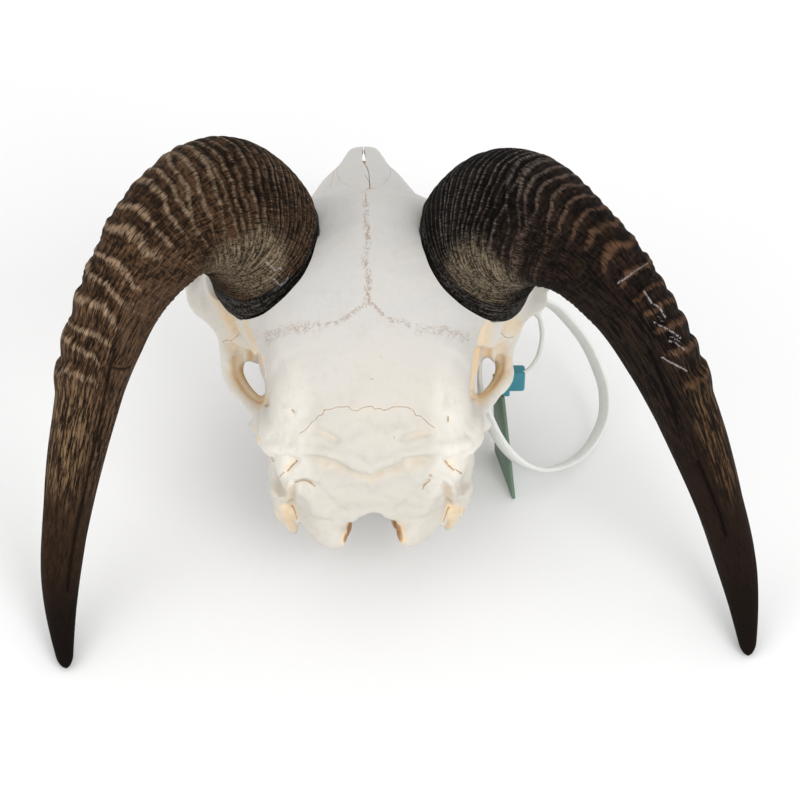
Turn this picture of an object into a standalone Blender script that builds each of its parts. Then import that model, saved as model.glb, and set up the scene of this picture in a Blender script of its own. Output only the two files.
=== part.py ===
"""Skull of a Barbary sheep (aoudad, Ammotragus lervia) with its horns and a plastic seal, life size.

It lies as it would rest: on the grinding faces of its cheek teeth and on the tips of its horns.
"""

import math

import bmesh
import bpy
import numpy as np
from mathutils import Matrix, Vector

MM = 0.001

# The skull's own frame, in mm: x = 0 is the midline, y = 0 lies under the back of the condyles and
# +Y runs to the nose, z = 0 is the floor, the plane of the cheek teeth. ORIGIN is the point of the
# floor, in that frame, that the model's origin stands on: the middle of its outline seen from above.
ORIGIN = (11.1, 105.8)

# Driving dimensions, in mm.
GAP = 0.3                       # between pieces that touch
VOXEL = 2.1                     # grain of the fused bone before it is thinned out
BONE_FACES_KEPT = 0.072         # share of the fused bone's faces that stay

CONDYLE_CENTRE = (20.0, 12.0, 43.0)
CONDYLE_RADII = (9.5, 18.0, 11.0)
FORAMEN_RADIUS = 10.6
FORAMEN_CENTRE = (0.0, 14.0, 44.5)
PROTUBERANCE = (0.0, -4.5, 86.5)
ORBIT_CENTRE = (61.0, 100.0, 78.0)
ORBIT_AXIS = (0.90, 0.33, -0.28)
ORBIT_RIM_THICKNESS = 4.0
# The orbit's rim, from its top backwards and down, round under the eye and up in front of it.
ORBIT_RIM = ((65.5, 103.0, 100.0), (70.0, 93.0, 98.0), (70.0, 83.5, 91.0), (63.5, 78.5, 82.0),
             (56.5, 77.0, 73.0), (54.5, 80.0, 63.0), (55.5, 90.0, 56.0), (54.5, 103.0, 54.5),
             (51.0, 115.0, 59.5), (49.0, 122.5, 70.0), (50.0, 124.0, 82.0), (55.0, 119.5, 92.5),
             (61.0, 112.0, 98.5), (65.5, 103.0, 100.0))
HORN_SEAT = (44.5, 86.0, 114.5)
HORN_AXIS = (0.50, -0.12, 0.855)
HORN_BASE_RADIUS = 27.5
NASAL_START = 126.0
NASAL_END = 193.0
NASAL_THICKNESS = 2.8
SNOUT_TIP = 238.0
TOOTH_LENGTHS = (8.5, 9.5, 10.0, 13.0, 15.0, 16.0)      # from the first premolar to the last molar
TOOTH_WIDTHS = (8.0, 9.5, 11.0, 13.0, 14.0, 13.0)
TOOTH_ROW_FRONT = (20.5, 184.0)                         # x, y of the row's front end
TOOTH_ROW_BACK = (29.0, 111.0)
TOOTH_HEIGHT = 18.0
TOOTH_CROWN = 8.5               # height of the crowns below the gum line
TOOTH_GAP = 1.4                 # between two crowns at the floor

# Braincase and face: y, half width, height of the widest level, top, bottom, roundness above, below.
BODY_SECTIONS = (
    (3.0, 23.0, 67.0, 87.0, 50.0, 2.3, 2.2),
    (10.0, 33.0, 68.0, 94.0, 42.0, 2.4, 2.3),
    (20.0, 37.5, 71.0, 103.5, 38.0, 2.5, 2.4),
    (33.0, 39.5, 75.0, 115.0, 38.0, 2.6, 2.6),
    (48.0, 40.5, 76.0, 124.5, 39.0, 2.6, 2.8),
    (62.0, 39.0, 76.0, 130.5, 41.0, 2.3, 2.8),
    (76.0, 34.0, 78.0, 134.0, 43.0, 2.0, 2.4),
    (92.0, 26.0, 80.0, 135.0, 43.0, 2.0, 2.0),
    (108.0, 26.0, 74.0, 129.0, 34.0, 2.0, 2.4),
    (122.0, 31.0, 62.0, 117.5, 16.0, 2.0, 4.0),
    (138.0, 33.5, 52.0, 109.8, 11.0, 2.0, 5.0),
    (154.0, 31.0, 45.0, 101.3, 10.0, 2.1, 5.0),
    (170.0, 26.5, 40.0, 92.5, 10.0, 2.1, 4.0),
    (184.0, 21.5, 35.0, 84.0, 10.0, 2.0, 3.0),
    (197.0, 17.5, 30.0, 74.0, 10.0, 2.0, 2.6),
)
# The frontal bones' roof between and around the horns, in the same terms.
ROOF_SECTIONS = (
    (48.0, 41.0, 104.0, 125.0, 97.0, 2.2, 2.0),
    (59.0, 48.0, 103.0, 130.0, 95.0, 2.1, 2.0),
    (72.0, 53.0, 100.0, 134.5, 91.0, 1.7, 2.0),
    (86.0, 61.0, 98.0, 136.0, 90.0, 1.4, 2.0),
    (99.0, 64.0, 97.0, 134.0, 89.0, 1.4, 2.0),
    (111.0, 58.0, 95.0, 127.5, 87.0, 1.6, 2.0),
    (122.0, 47.0, 90.0, 118.0, 82.0, 1.8, 2.0),
    (134.0, 34.0, 82.0, 111.5, 72.0, 2.0, 2.0),
)
# The joined premaxillae, in the same terms.
SNOUT_SECTIONS = (
    (184.0, 18.5, 28.0, 62.0, 10.0, 2.0, 3.0),
    (200.0, 16.5, 24.0, 50.0, 9.0, 2.0, 3.0),
    (216.0, 15.0, 19.0, 36.0, 7.5, 2.0, 2.6),
    (230.0, 13.5, 14.0, 23.0, 7.0, 2.0, 2.2),
    (SNOUT_TIP, 8.5, 12.5, 16.0, 8.5, 2.0, 2.0),
)
# The nasal bones' top line: y, z, half width of the pair, drop at the outer edge.
NASAL_STATIONS = (
    (NASAL_START, 115.6, 3.5, 0.5),
    (134.0, 111.9, 7.5, 1.2),
    (146.0, 105.8, 10.2, 2.2),
    (160.0, 98.3, 12.0, 3.4),
    (172.0, 91.6, 12.4, 4.0),
    (182.0, 85.6, 10.8, 3.8),
    (189.0, 81.2, 8.4, 2.8),
    (NASAL_END, 78.6, 5.8, 1.6),
)
# The horns' centre lines, from the seat on the skull to the tip: x, y, z and radius.
LEFT_HORN = (
    (-44.5, 86.0, 114.5, 27.5),
    (-50.5, 84.0, 136.5, 27.0),
    (-61.5, 74.0, 151.5, 25.5),
    (-75.5, 62.0, 152.5, 21.0),
    (-89.0, 51.0, 139.5, 16.8),
    (-102.0, 41.5, 113.0, 14.3),
    (-111.0, 32.0, 83.0, 12.0),
    (-118.5, 20.0, 51.0, 9.8),
    (-123.5, 0.5, 20.0, 7.4),
    (-122.5, -25.0, 1.3, 2.3),
)
RIGHT_HORN = (
    (44.5, 86.0, 114.5, 27.5),
    (52.5, 81.0, 136.0, 27.5),
    (65.0, 66.5, 148.5, 24.0),
    (79.5, 54.0, 148.0, 18.3),
    (96.0, 43.5, 134.0, 15.2),
    (111.5, 33.5, 110.5, 13.5),
    (124.5, 24.5, 82.5, 11.6),
    (136.5, 13.0, 51.0, 9.4),
    (146.0, -1.0, 20.5, 7.2),
    (148.5, -23.0, 1.3, 2.2),
)
HORN_RINGS = 26
HORN_SIDES = 16
HORN_KEEL = 0.07                # how far the section stands out towards its three blunt keels

STRAP_WIDTH = 6.5
STRAP_THICKNESS = 1.6
# The strap's middle line, from the lock up into the orbit, back through the temporal opening, once
# round the loop that hangs beside the skull and into the orbit again. With each point goes the
# direction that the strap's width runs in: the line of sight at first, then the loop's own axis.
SIGHT = (0.0, 0.69, -0.72)
LOOP_AXIS = (-0.6, 0.556, -0.575)
STRAP_ROUTE = (
    ((65.4, 88.8, 47.2), SIGHT),
    ((68.7, 92.0, 50.4), SIGHT),
    ((70.7, 95.0, 56.2), SIGHT),
    ((70.6, 98.0, 64.8), SIGHT),
    ((67.5, 102.5, 72.0), (0.0, 0.4, 0.9)),
    ((58.0, 104.5, 78.5), (0.0, 0.1, 1.0)),
    ((48.5, 97.5, 79.0), (-0.1, 0.2, 0.95)),
    ((45.3, 87.0, 73.0), (-0.2, 0.5, 0.8)),
    ((44.9, 80.5, 63.0), (0.1, 0.95, 0.3)),
    ((45.3, 75.5, 50.0), (-0.2, 0.95, -0.2)),
    ((48.4, 71.7, 37.8), LOOP_AXIS),
    ((51.8, 68.4, 31.1), LOOP_AXIS),
    ((56.4, 66.0, 24.0), LOOP_AXIS),
    ((63.3, 65.3, 16.1), LOOP_AXIS),
    ((70.7, 67.2, 10.3), LOOP_AXIS),
    ((78.2, 71.6, 6.7), LOOP_AXIS),
    ((87.6, 79.3, 4.3), LOOP_AXIS),
    ((95.3, 89.3, 5.9), LOOP_AXIS),
    ((99.5, 98.4, 10.4), LOOP_AXIS),
    ((99.8, 105.6, 17.0), LOOP_AXIS),
    ((96.1, 112.2, 27.3), LOOP_AXIS),
    ((91.2, 116.4, 36.4), LOOP_AXIS),
    ((84.5, 118.9, 45.8), LOOP_AXIS),
    ((77.1, 119.6, 54.7), LOOP_AXIS),
    ((68.5, 116.5, 62.0), LOOP_AXIS),
    ((57.5, 108.0, 67.0), LOOP_AXIS),
)
LOCK_CENTRE = (60.4, 88.0, 43.9)
LOCK_SIZE = (7.4, 6.0, 10.6)
NECK_CENTRE = (57.4, 86.8, 38.0)
NECK_SIZE = (3.6, 3.2, 4.6)
FLAG_TOP = (55.3, 85.3, 35.3)
FLAG_FOOT = (59.8, 59.3, 0.9)
FLAG_DEPTH = (-6.4, 28.0)       # how far the flag's foot runs away from its near edge
FLAG_THICKNESS = 1.5

BONE = ("bone", (0.86, 0.82, 0.74), 0.55)
HORN = ("horn", (0.13, 0.09, 0.06), 0.6)
STRAP = ("strap_plastic", (0.82, 0.83, 0.80), 0.4)
LOCK = ("lock_plastic", (0.05, 0.36, 0.42), 0.4)
FLAG = ("flag_plastic", (0.12, 0.36, 0.27), 0.45)


def clear_scene():
    for thing in list(bpy.data.objects):
        bpy.data.objects.remove(thing, do_unlink=True)


def collection(name):
    group = bpy.data.collections.new(name)
    bpy.context.scene.collection.children.link(group)
    return group


def material(name, colour, roughness):
    finish = bpy.data.materials.get(name) or bpy.data.materials.new(name)
    finish.use_nodes = True
    shader = finish.node_tree.nodes["Principled BSDF"]
    shader.inputs["Base Color"].default_value = (*colour, 1.0)
    shader.inputs["Roughness"].default_value = roughness
    shader.inputs["Metallic"].default_value = 0.0
    return finish


def to_model(point):
    """A point of the skull's own frame, in mm, as a point of the model, in metres."""
    return Vector(((point[0] - ORIGIN[0]) * MM, (point[1] - ORIGIN[1]) * MM, point[2] * MM))


def mirrored(point, side):
    return (side * point[0], point[1], point[2])


def object_from(shape, name, group, finish=None):
    """Makes an object of a bmesh whose points are in the skull's own frame, and frees the bmesh."""
    for vertex in shape.verts:
        vertex.co = to_model(vertex.co)
    bmesh.ops.recalc_face_normals(shape, faces=shape.faces)
    mesh = bpy.data.meshes.new(name)
    shape.to_mesh(mesh)
    shape.free()
    thing = bpy.data.objects.new(name, mesh)
    group.objects.link(thing)
    if finish:
        mesh.materials.append(material(*finish))
        mesh.shade_smooth()
    return thing


def cutter_from(shape, name, group):
    thing = object_from(shape, name, group)
    thing.hide_render = True
    thing.display_type = "WIRE"
    return thing


def turned(direction):
    """The rotation that takes +Z to a direction."""
    return Vector(direction).normalized().to_track_quat("Z", "Y").to_matrix().to_4x4()


def add_ball(shape, centre, radii, turn_z=0.0, turn_x=0.0, segments=24):
    place = Matrix.Translation(centre) @ Matrix.Rotation(math.radians(turn_z), 4, "Z")
    place = place @ Matrix.Rotation(math.radians(turn_x), 4, "X") @ Matrix.Diagonal((*radii, 1.0))
    bmesh.ops.create_uvsphere(shape, u_segments=segments, v_segments=segments // 2, radius=1.0, matrix=place)


def add_cone(shape, start, end, start_radius, end_radius, segments=28):
    start = Vector(start)
    end = Vector(end)
    place = Matrix.Translation((start + end) / 2) @ turned(end - start)
    bmesh.ops.create_cone(shape, cap_ends=True, segments=segments, radius1=start_radius,
                          radius2=end_radius, depth=(end - start).length, matrix=place)


def add_box(shape, centre, size, turn=None):
    place = Matrix.Translation(centre) @ (turn or Matrix()) @ Matrix.Diagonal((*size, 1.0))
    bmesh.ops.create_cube(shape, size=1.0, matrix=place)


def add_rings(shape, rings):
    """A loft through rings of equally many points, with a flat cap on each end."""
    rows = [[shape.verts.new(point) for point in ring] for ring in rings]
    for row, following in zip(rows, rows[1:]):
        for i in range(len(row)):
            j = (i + 1) % len(row)
            shape.faces.new((row[i], row[j], following[j], following[i]))
    shape.faces.new(list(reversed(rows[0])))
    shape.faces.new(rows[-1])


def smooth_route(points, count):
    """Evenly spaced points on a smooth curve through the given ones (Catmull-Rom by chord length)."""
    points = np.array(points, float)
    steps = np.linalg.norm(np.diff(points[:, :3], axis=0), axis=1)
    knots = np.concatenate(([0.0], np.cumsum(steps)))
    slopes = np.gradient(points, knots, axis=0, edge_order=2)
    at = np.linspace(0.0, knots[-1], 12 * count)
    span = np.clip(np.searchsorted(knots, at, side="right") - 1, 0, len(steps) - 1)
    width = steps[span]
    t = ((at - knots[span]) / width)[:, None]
    width = width[:, None]
    fine = ((1 + 2 * t) * (1 - t) ** 2 * points[span] + t * (1 - t) ** 2 * width * slopes[span]
            + t * t * (3 - 2 * t) * points[span + 1] + t * t * (t - 1) * width * slopes[span + 1])
    run = np.concatenate(([0.0], np.cumsum(np.linalg.norm(np.diff(fine[:, :3], axis=0), axis=1))))
    even = np.linspace(0.0, run[-1], count)
    return np.stack([np.interp(even, run, fine[:, k]) for k in range(points.shape[1])], axis=1)


def add_bar(shape, points, radii, sides=10, flatten=1.0, count=None):
    """A round bar along a smooth route, its radius changing from point to point."""
    stations = [(*point, radius) for point, radius in zip(points, radii)]
    route = smooth_route(stations, count or 4 * len(points))
    rings = []
    centre = route[:, :3]
    along = np.gradient(centre, axis=0)
    for point, radius, ahead in zip(centre, route[:, 3], along):
        frame = turned(ahead).to_3x3()
        ring = []
        for k in range(sides):
            turn = 2 * math.pi * k / sides
            offset = frame @ Vector((math.cos(turn), math.sin(turn), 0.0))
            offset.x *= flatten
            ring.append(Vector(point) + float(radius) * offset)
        rings.append(ring)
    add_rings(shape, rings)


def section_ring(y, half, widest, top, bottom, round_above, round_below, sides=36):
    """One upright cross-section of the skull, a superellipse above and below its widest level."""
    ring = []
    for k in range(sides):
        turn = 2 * math.pi * k / sides
        upper = math.sin(turn) >= 0
        power = 2.0 / (round_above if upper else round_below)
        reach = (top - widest) if upper else (widest - bottom)
        x = half * math.copysign(abs(math.cos(turn)) ** power, math.cos(turn))
        z = widest + reach * math.copysign(abs(math.sin(turn)) ** power, math.sin(turn))
        ring.append((x, y, z))
    return ring


def add_sections(shape, sections, count):
    """A loft through cross-sections that change smoothly from one station to the next."""
    table = np.array(sections)
    knots = table[:, 0]
    slopes = np.gradient(table, knots, axis=0)
    rings = []
    for y in np.linspace(knots[0], knots[-1], count):
        i = min(max(int(np.searchsorted(knots, y, side="right")) - 1, 0), len(knots) - 2)
        width = knots[i + 1] - knots[i]
        t = (y - knots[i]) / width
        row = ((1 + 2 * t) * (1 - t) ** 2 * table[i] + t * (1 - t) ** 2 * width * slopes[i]
               + t * t * (3 - 2 * t) * table[i + 1] + t * t * (t - 1) * width * slopes[i + 1])
        rings.append(section_ring(y, *row[1:]))
    add_rings(shape, rings)


def along_orbit(distance, side):
    """A point on the orbit's axis, that far outwards from the middle of its rim."""
    axis = Vector(ORBIT_AXIS).normalized()
    return mirrored(Vector(ORBIT_CENTRE) + distance * axis, side)


def add_orbit(shape, side):
    """The bony tube round one eye, with its raised rim."""
    add_cone(shape, along_orbit(-36.0, side), along_orbit(-3.0, side), 19.0, 24.5)
    rim = [mirrored(point, side) for point in ORBIT_RIM]
    add_bar(shape, rim, [ORBIT_RIM_THICKNESS] * len(rim), sides=8)


def add_side_of_skull(shape, side):
    """The processes, arches and bosses of one side."""
    def at(x, y, z):
        return (side * x, y, z)

    add_orbit(shape, side)
    # Back wall of the orbit, the postorbital process, and the thin crest that stands behind it.
    add_bar(shape, [at(60, 90, 96), at(64, 83, 92), at(59, 79, 83), at(53.5, 78, 73)], [7.5, 6.5, 4.5, 3.5])
    add_ball(shape, at(48.2, 78.0, 73.0), (2.3, 5.5, 14.5))
    # Zygomatic arch, its broad root, and the cheekbone in front of it.
    add_bar(shape, [at(57, 90, 59), at(55.4, 77, 58), at(51, 65.5, 59), at(45.5, 55, 61), at(39.5, 44, 63)],
            [6.0, 4.6, 4.4, 4.6, 6.0])
    add_ball(shape, at(41.5, 54.0, 59.0), (7.5, 11.0, 4.5), turn_z=side * 20)
    add_bar(shape, [at(56, 98, 57), at(48, 115, 51), at(38, 133, 44), at(30, 152, 36)], [6.0, 8.5, 8.0, 5.0])
    # Temporal bone: the swelling over the ear, its crest and the bony ear opening.
    add_ball(shape, at(34.5, 30.0, 58.0), (6.5, 12.0, 16.0))
    add_bar(shape, [at(43, 48, 65), at(42.5, 38, 69), at(42.2, 28, 71.5)], [2.8, 2.8, 2.8])
    add_bar(shape, [at(28, 38, 46), at(36, 36, 50), at(40, 35, 52)], [5.5, 4.8, 4.2])
    add_ball(shape, at(25.0, 43.0, 34.0), (7.5, 11.0, 9.5))
    add_bar(shape, [at(36, 28, 48), at(36, 25, 38), at(35.5, 25, 28)], [4.5, 3.0, 1.8])
    # Nuchal crest.
    add_bar(shape, [at(42.5, 29, 71), at(38.5, 21.5, 74), at(31, 11, 81.5), at(21, 4.5, 86), at(10, 0, 89),
                    PROTUBERANCE], [2.8, 3.2, 3.2, 2.8, 2.6, 3.6])
    # Occipital condyle, and the paracondylar process beside it.
    add_ball(shape, mirrored(CONDYLE_CENTRE, side), CONDYLE_RADII, turn_z=side * -33)
    add_bar(shape, [at(33.5, 18, 56), at(34, 20, 43), at(32.5, 24, 28), at(30, 29, 14)],
            [6.5, 5.0, 4.0, 2.2])
    # Pterygoid plate, and the swelling behind the last molar.
    add_ball(shape, at(12.0, 93.0, 37.0), (2.6, 14.0, 14.0))
    add_ball(shape, at(27.0, 110.0, 28.0), (8.0, 11.0, 18.0))
    # Horn boss, whose flat top the horn sits on.
    axis = Vector(mirrored(HORN_AXIS, side)).normalized()
    seat = Vector(mirrored(HORN_SEAT, side))
    add_cone(shape, seat - 22 * axis, seat + 2 * axis, HORN_BASE_RADIUS + 5, HORN_BASE_RADIUS - 2)
    add_teeth(shape, side)


def tooth_places(side):
    """The middle, length and width of each cheek tooth of one row, and the turn of the row."""
    total = sum(TOOTH_LENGTHS)
    front = Vector((side * TOOTH_ROW_FRONT[0], TOOTH_ROW_FRONT[1], 0.0))
    back = Vector((side * TOOTH_ROW_BACK[0], TOOTH_ROW_BACK[1], 0.0))
    heading = Matrix.Rotation(math.atan2(front.x - back.x, back.y - front.y), 4, "Z")
    places = []
    run = 0.0
    for length, width in zip(TOOTH_LENGTHS, TOOTH_WIDTHS):
        places.append((front.lerp(back, (run + length / 2) / total), length, width))
        run += length
    return places, heading


def add_teeth(shape, side):
    """One row of cheek teeth, rooted in the upper jaw."""
    places, heading = tooth_places(side)
    for centre, length, width in places:
        centre.z = TOOTH_HEIGHT / 2 - 1.0
        add_box(shape, centre, (width, length, TOOTH_HEIGHT), heading)


def tooth_gap_cutter(group):
    """The notches between neighbouring cheek teeth."""
    shape = bmesh.new()
    for side in (-1, 1):
        places, heading = tooth_places(side)
        for (near, near_length, width), (far, far_length, _) in zip(places, places[1:]):
            middle = near.lerp(far, near_length / (near_length + far_length))
            frame = Matrix.Translation(middle) @ heading
            outline = ((-TOOTH_GAP / 2, -1.0), (TOOTH_GAP / 2, -1.0), (TOOTH_GAP / 4, TOOTH_CROWN),
                       (-TOOTH_GAP / 4, TOOTH_CROWN))
            add_rings(shape, [[frame @ Vector((x, y, z)) for y, z in outline] for x in (-width, width)])
    return cutter_from(shape, "tooth_gaps", group)


def fused_bone(group):
    """All the bones of the skull as one overlapping set of solids."""
    shape = bmesh.new()
    add_sections(shape, BODY_SECTIONS, 40)
    add_sections(shape, ROOF_SECTIONS, 24)
    add_sections(shape, SNOUT_SECTIONS, 16)
    add_ball(shape, (0.0, 46.0, 41.0), (13.0, 34.0, 8.5))
    for side in (-1, 1):
        add_side_of_skull(shape, side)
    return object_from(shape, "fused_bone", group)


def bone_cutters(group):
    """The hollows of the skull, and the floor that its teeth are worn flat to."""
    hollows = bmesh.new()
    add_cone(hollows, along_orbit(14.0, -1), along_orbit(-31.0, -1), 25.5, 8.0)
    add_cone(hollows, along_orbit(14.0, 1), along_orbit(-31.0, 1), 25.5, 8.0)
    cutters = [cutter_from(hollows, "orbits", group)]

    through = bmesh.new()
    for side in (-1, 1):
        add_ball(through, (side * 43.0, 86.0, 70.0), (5.6, 15.0, 14.0))
    cutters.append(cutter_from(through, "orbit_backs", group))

    axis = Vector((0.0, 0.72, 0.69))
    centre = Vector(FORAMEN_CENTRE)
    hole = bmesh.new()
    add_cone(hole, centre - 30 * axis, centre + 20 * axis, FORAMEN_RADIUS + 0.8, FORAMEN_RADIUS)
    cutters.append(cutter_from(hole, "foramen", group))

    nose = bmesh.new()
    add_bar(nose, [(0, 152, 66), (0, 172, 58), (0, 196, 47), (0, 222, 41), (0, 250, 40)],
            [9.0, 12.0, 12.5, 14.0, 18.0], sides=20)
    cutters.append(cutter_from(nose, "nasal_cavity", group))
    vault = bmesh.new()
    add_bar(vault, [(0, 90, 26), (0, 118, 11), (0, 160, 6), (0, 200, 3), (0, 222, 0)],
            [9.0, 13.0, 14.0, 12.0, 7.0], sides=20)
    cutters.append(cutter_from(vault, "palate_vault", group))
    return cutters


def aperture_cutter(group):
    """What the open front of the nose takes off the snout, seen from the side as one outline."""
    outline = ((175.0, 80.0), (184.0, 66.0), (197.0, 53.0), (212.0, 39.0), (226.0, 26.0), (240.0, 18.5),
               (262.0, 17.0), (262.0, 96.0), (215.0, 120.0), (178.0, 110.0))
    shape = bmesh.new()
    add_rings(shape, [[(x, y, z) for y, z in outline] for x in (-40.0, 40.0)])
    return cutter_from(shape, "nose_aperture", group)


def floor_cutter(group):
    shape = bmesh.new()
    add_box(shape, (0.0, 110.0, -10.0), (200.0, 320.0, 20.0))
    return cutter_from(shape, "floor", group)


def horn_seat_cutter(group):
    """Everything above the flats that the horns sit on."""
    shape = bmesh.new()
    for side in (-1, 1):
        axis = Vector(mirrored(HORN_AXIS, side)).normalized()
        seat = Vector(mirrored(HORN_SEAT, side)) - GAP * axis
        add_cone(shape, seat, seat + 30 * axis, HORN_BASE_RADIUS + 3.5, HORN_BASE_RADIUS + 12)
    return cutter_from(shape, "horn_seats", group)


def nasal_surface(side, inset, widen=0.0):
    """The top surface of one nasal bone as rows of points, from its root to its tip."""
    table = np.array(NASAL_STATIONS)
    rows = []
    for y in np.linspace(NASAL_START - widen, NASAL_END + widen, 13):
        z, half, drop = (np.interp(y, table[:, 0], table[:, k]) for k in (1, 2, 3))
        half += widen
        row = []
        for u in np.linspace(0.0, 1.0, 4):
            x = inset + u * (half - inset)
            row.append((side * x, y, z - drop * u * u))
        rows.append(row)
    return rows


def add_plate(shape, rows, above, below):
    """A closed plate: a surface given as rows of points, thickened up and down."""
    top = [[shape.verts.new((x, y, z + above)) for x, y, z in row] for row in rows]
    bottom = [[shape.verts.new((x, y, z - below)) for x, y, z in row] for row in rows]
    for sheet in (top, bottom):
        for row, following in zip(sheet, sheet[1:]):
            for i in range(len(row) - 1):
                shape.faces.new((row[i], row[i + 1], following[i + 1], following[i]))
    edge = top[0] + [row[-1] for row in top[1:]] + top[-1][-2::-1] + [row[0] for row in top[-2:0:-1]]
    under = bottom[0] + [row[-1] for row in bottom[1:]] + bottom[-1][-2::-1]
    under = under + [row[0] for row in bottom[-2:0:-1]]
    for i in range(len(edge)):
        j = (i + 1) % len(edge)
        shape.faces.new((edge[i], edge[j], under[j], under[i]))


def nasal_bone(side, name, group):
    shape = bmesh.new()
    add_plate(shape, nasal_surface(side, GAP / 2), 0.0, NASAL_THICKNESS)
    return object_from(shape, name, group, BONE)


def nasal_bed_cutter(group):
    """Room in the skull's roof for the two nasal bones, and the air over them."""
    shape = bmesh.new()
    left = nasal_surface(-1, 0.0, widen=GAP)
    right = nasal_surface(1, 0.0, widen=GAP)
    rows = [list(reversed(a))[:-1] + b for a, b in zip(left, right)]
    add_plate(shape, rows, 9.0, NASAL_THICKNESS + GAP)
    return cutter_from(shape, "nasal_bed", group)


def prism(group, name, sides, outline_yz):
    """A cutter: an outline seen from the side, run across the skull between two distances."""
    shape = bmesh.new()
    add_rings(shape, [[(x, y, z) for y, z in outline_yz] for x in sides])
    return cutter_from(shape, name, group)


def snout_region(group, name, across, gap):
    """The space of the premaxillae, in front of their slanting suture with the upper jaws."""
    outline = ((177.0 + gap, 95.0), (183.5 + gap, 50.0), (190.0 + gap, -5.0), (260.0, -5.0), (260.0, 95.0))
    return prism(group, name, across, outline)


def cheek_region(side, gap, group, name):
    """The space of one zygomatic bone: the orbit's lower rim and the front of the arch."""
    corners = ((44.5 + gap, 61.0 + gap, 66.0), (62.0, 53.0 + gap, 68.0), (90.0, 52.0 + gap, 80.0),
               (90.0, 124.0 - gap, 62.0), (45.0 + gap, 124.0 - gap, 62.0), (45.0 + gap, 96.0, 72.0),
               (51.2 + gap, 86.0, 79.0), (51.2 + gap, 73.0, 79.0))
    shape = bmesh.new()
    low = [(side * x, y, 30.0) for x, y, z in corners]
    high = [(side * x, y, z - gap) for x, y, z in corners]
    add_rings(shape, [low, high])
    bmesh.ops.triangulate(shape, faces=[face for face in shape.faces if len(face.verts) > 4])
    return cutter_from(shape, name, group)


def add_boolean(thing, cutter, operation="DIFFERENCE"):
    cut = thing.modifiers.new(cutter.name, "BOOLEAN")
    cut.operation = operation
    cut.solver = "EXACT"
    cut.object = cutter


def settled_mesh(thing, name):
    """The evaluated mesh of an object, as a mesh of its own."""
    graph = bpy.context.evaluated_depsgraph_get()
    mesh = bpy.data.meshes.new_from_object(thing.evaluated_get(graph))
    mesh.name = name
    return mesh


def whole_skull(cutters):
    """The skull before it is parted into its bones: fused, hollowed, smoothed and thinned out."""
    bone = fused_bone(cutters)
    fuse = bone.modifiers.new("fuse", "REMESH")
    fuse.mode = "VOXEL"
    fuse.voxel_size = VOXEL * MM
    hollows = bone_cutters(cutters)
    for cutter in hollows + [aperture_cutter(cutters)]:
        add_boolean(bone, cutter)
    again = bone.modifiers.new("refuse", "REMESH")
    again.mode = "VOXEL"
    again.voxel_size = VOXEL * MM
    soften = bone.modifiers.new("soften", "SMOOTH")
    soften.factor = 0.5
    soften.iterations = 3
    thin = bone.modifiers.new("thin", "DECIMATE")
    thin.ratio = BONE_FACES_KEPT
    mesh = settled_mesh(bone, "whole_skull")
    for cutter in hollows:
        bpy.data.objects.remove(cutter)
    bpy.data.objects.remove(bone)
    return mesh


def bone_piece(name, mesh, group, finish=BONE):
    piece = bpy.data.objects.new(name, mesh.copy())
    group.objects.link(piece)
    piece.data.materials.clear()
    piece.data.materials.append(material(*finish))
    return piece


def horn_rings(stations):
    """Cross-sections of one horn, kept above the floor so that its tip is worn flat there."""
    route = smooth_route(stations, HORN_RINGS)
    centre = route[:, :3]
    along = np.gradient(centre, axis=0)
    side = math.copysign(1.0, stations[0][0])
    along[0] = mirrored(HORN_AXIS, side)
    along[1] = along[1] + np.linalg.norm(along[1]) * np.array(along[0])
    out = Vector((side, 0.0, 0.0))
    rings = []
    for point, radius, ahead in zip(centre, route[:, 3], along):
        ahead = Vector(ahead).normalized()
        out = (out - out.dot(ahead) * ahead).normalized()
        up = ahead.cross(out)
        ring = []
        for k in range(HORN_SIDES):
            turn = 2 * math.pi * k / HORN_SIDES
            reach = float(radius) * (1 + HORN_KEEL * math.cos(3 * turn))
            spot = Vector(point) + reach * (math.cos(turn) * out + math.sin(turn) * up)
            spot.z = max(spot.z, 0.0)
            ring.append(spot)
        rings.append(ring)
    return rings


def horn(name, stations, group):
    shape = bmesh.new()
    add_rings(shape, horn_rings(stations))
    return object_from(shape, name, group, HORN)


def strap_rings(count):
    """Cross-sections of the flat strap along its route."""
    stations = [(*point, *width) for point, width in STRAP_ROUTE]
    route = smooth_route(stations, count)
    centre = route[:, :3]
    along = np.gradient(centre, axis=0)
    rings = []
    for point, width, ahead in zip(centre, route[:, 3:], along):
        ahead = Vector(ahead).normalized()
        across = Vector(width)
        across = (across - across.dot(ahead) * ahead).normalized()
        through = ahead.cross(across)
        corners = ((-1, -1), (1, -1), (1, 1), (-1, 1))
        rings.append([Vector(point) + a * STRAP_WIDTH / 2 * across + b * STRAP_THICKNESS / 2 * through
                      for a, b in corners])
    return rings


def seal(group, cutters):
    """The plastic seal through the right orbit: strap, lock and flag."""
    shape = bmesh.new()
    add_rings(shape, strap_rings(56))
    object_from(shape, "tag_strap", group, STRAP)

    shape = bmesh.new()
    add_box(shape, LOCK_CENTRE, LOCK_SIZE)
    lock = object_from(shape, "tag_lock", group, LOCK)
    shape = bmesh.new()
    add_box(shape, NECK_CENTRE, NECK_SIZE)
    add_boolean(lock, cutter_from(shape, "lock_neck", cutters), "UNION")

    shape = bmesh.new()
    top = Vector(FLAG_TOP)
    foot = Vector(FLAG_FOOT)
    away = Vector((*FLAG_DEPTH, 0.0))
    through = Vector((away.y, -away.x, 0.0)).normalized() * FLAG_THICKNESS / 2
    outline = (top, foot, foot + away, top + away)
    add_rings(shape, [[point + way * through for point in outline] for way in (-1, 1)])
    object_from(shape, "tag_flag", group, FLAG)


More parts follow.
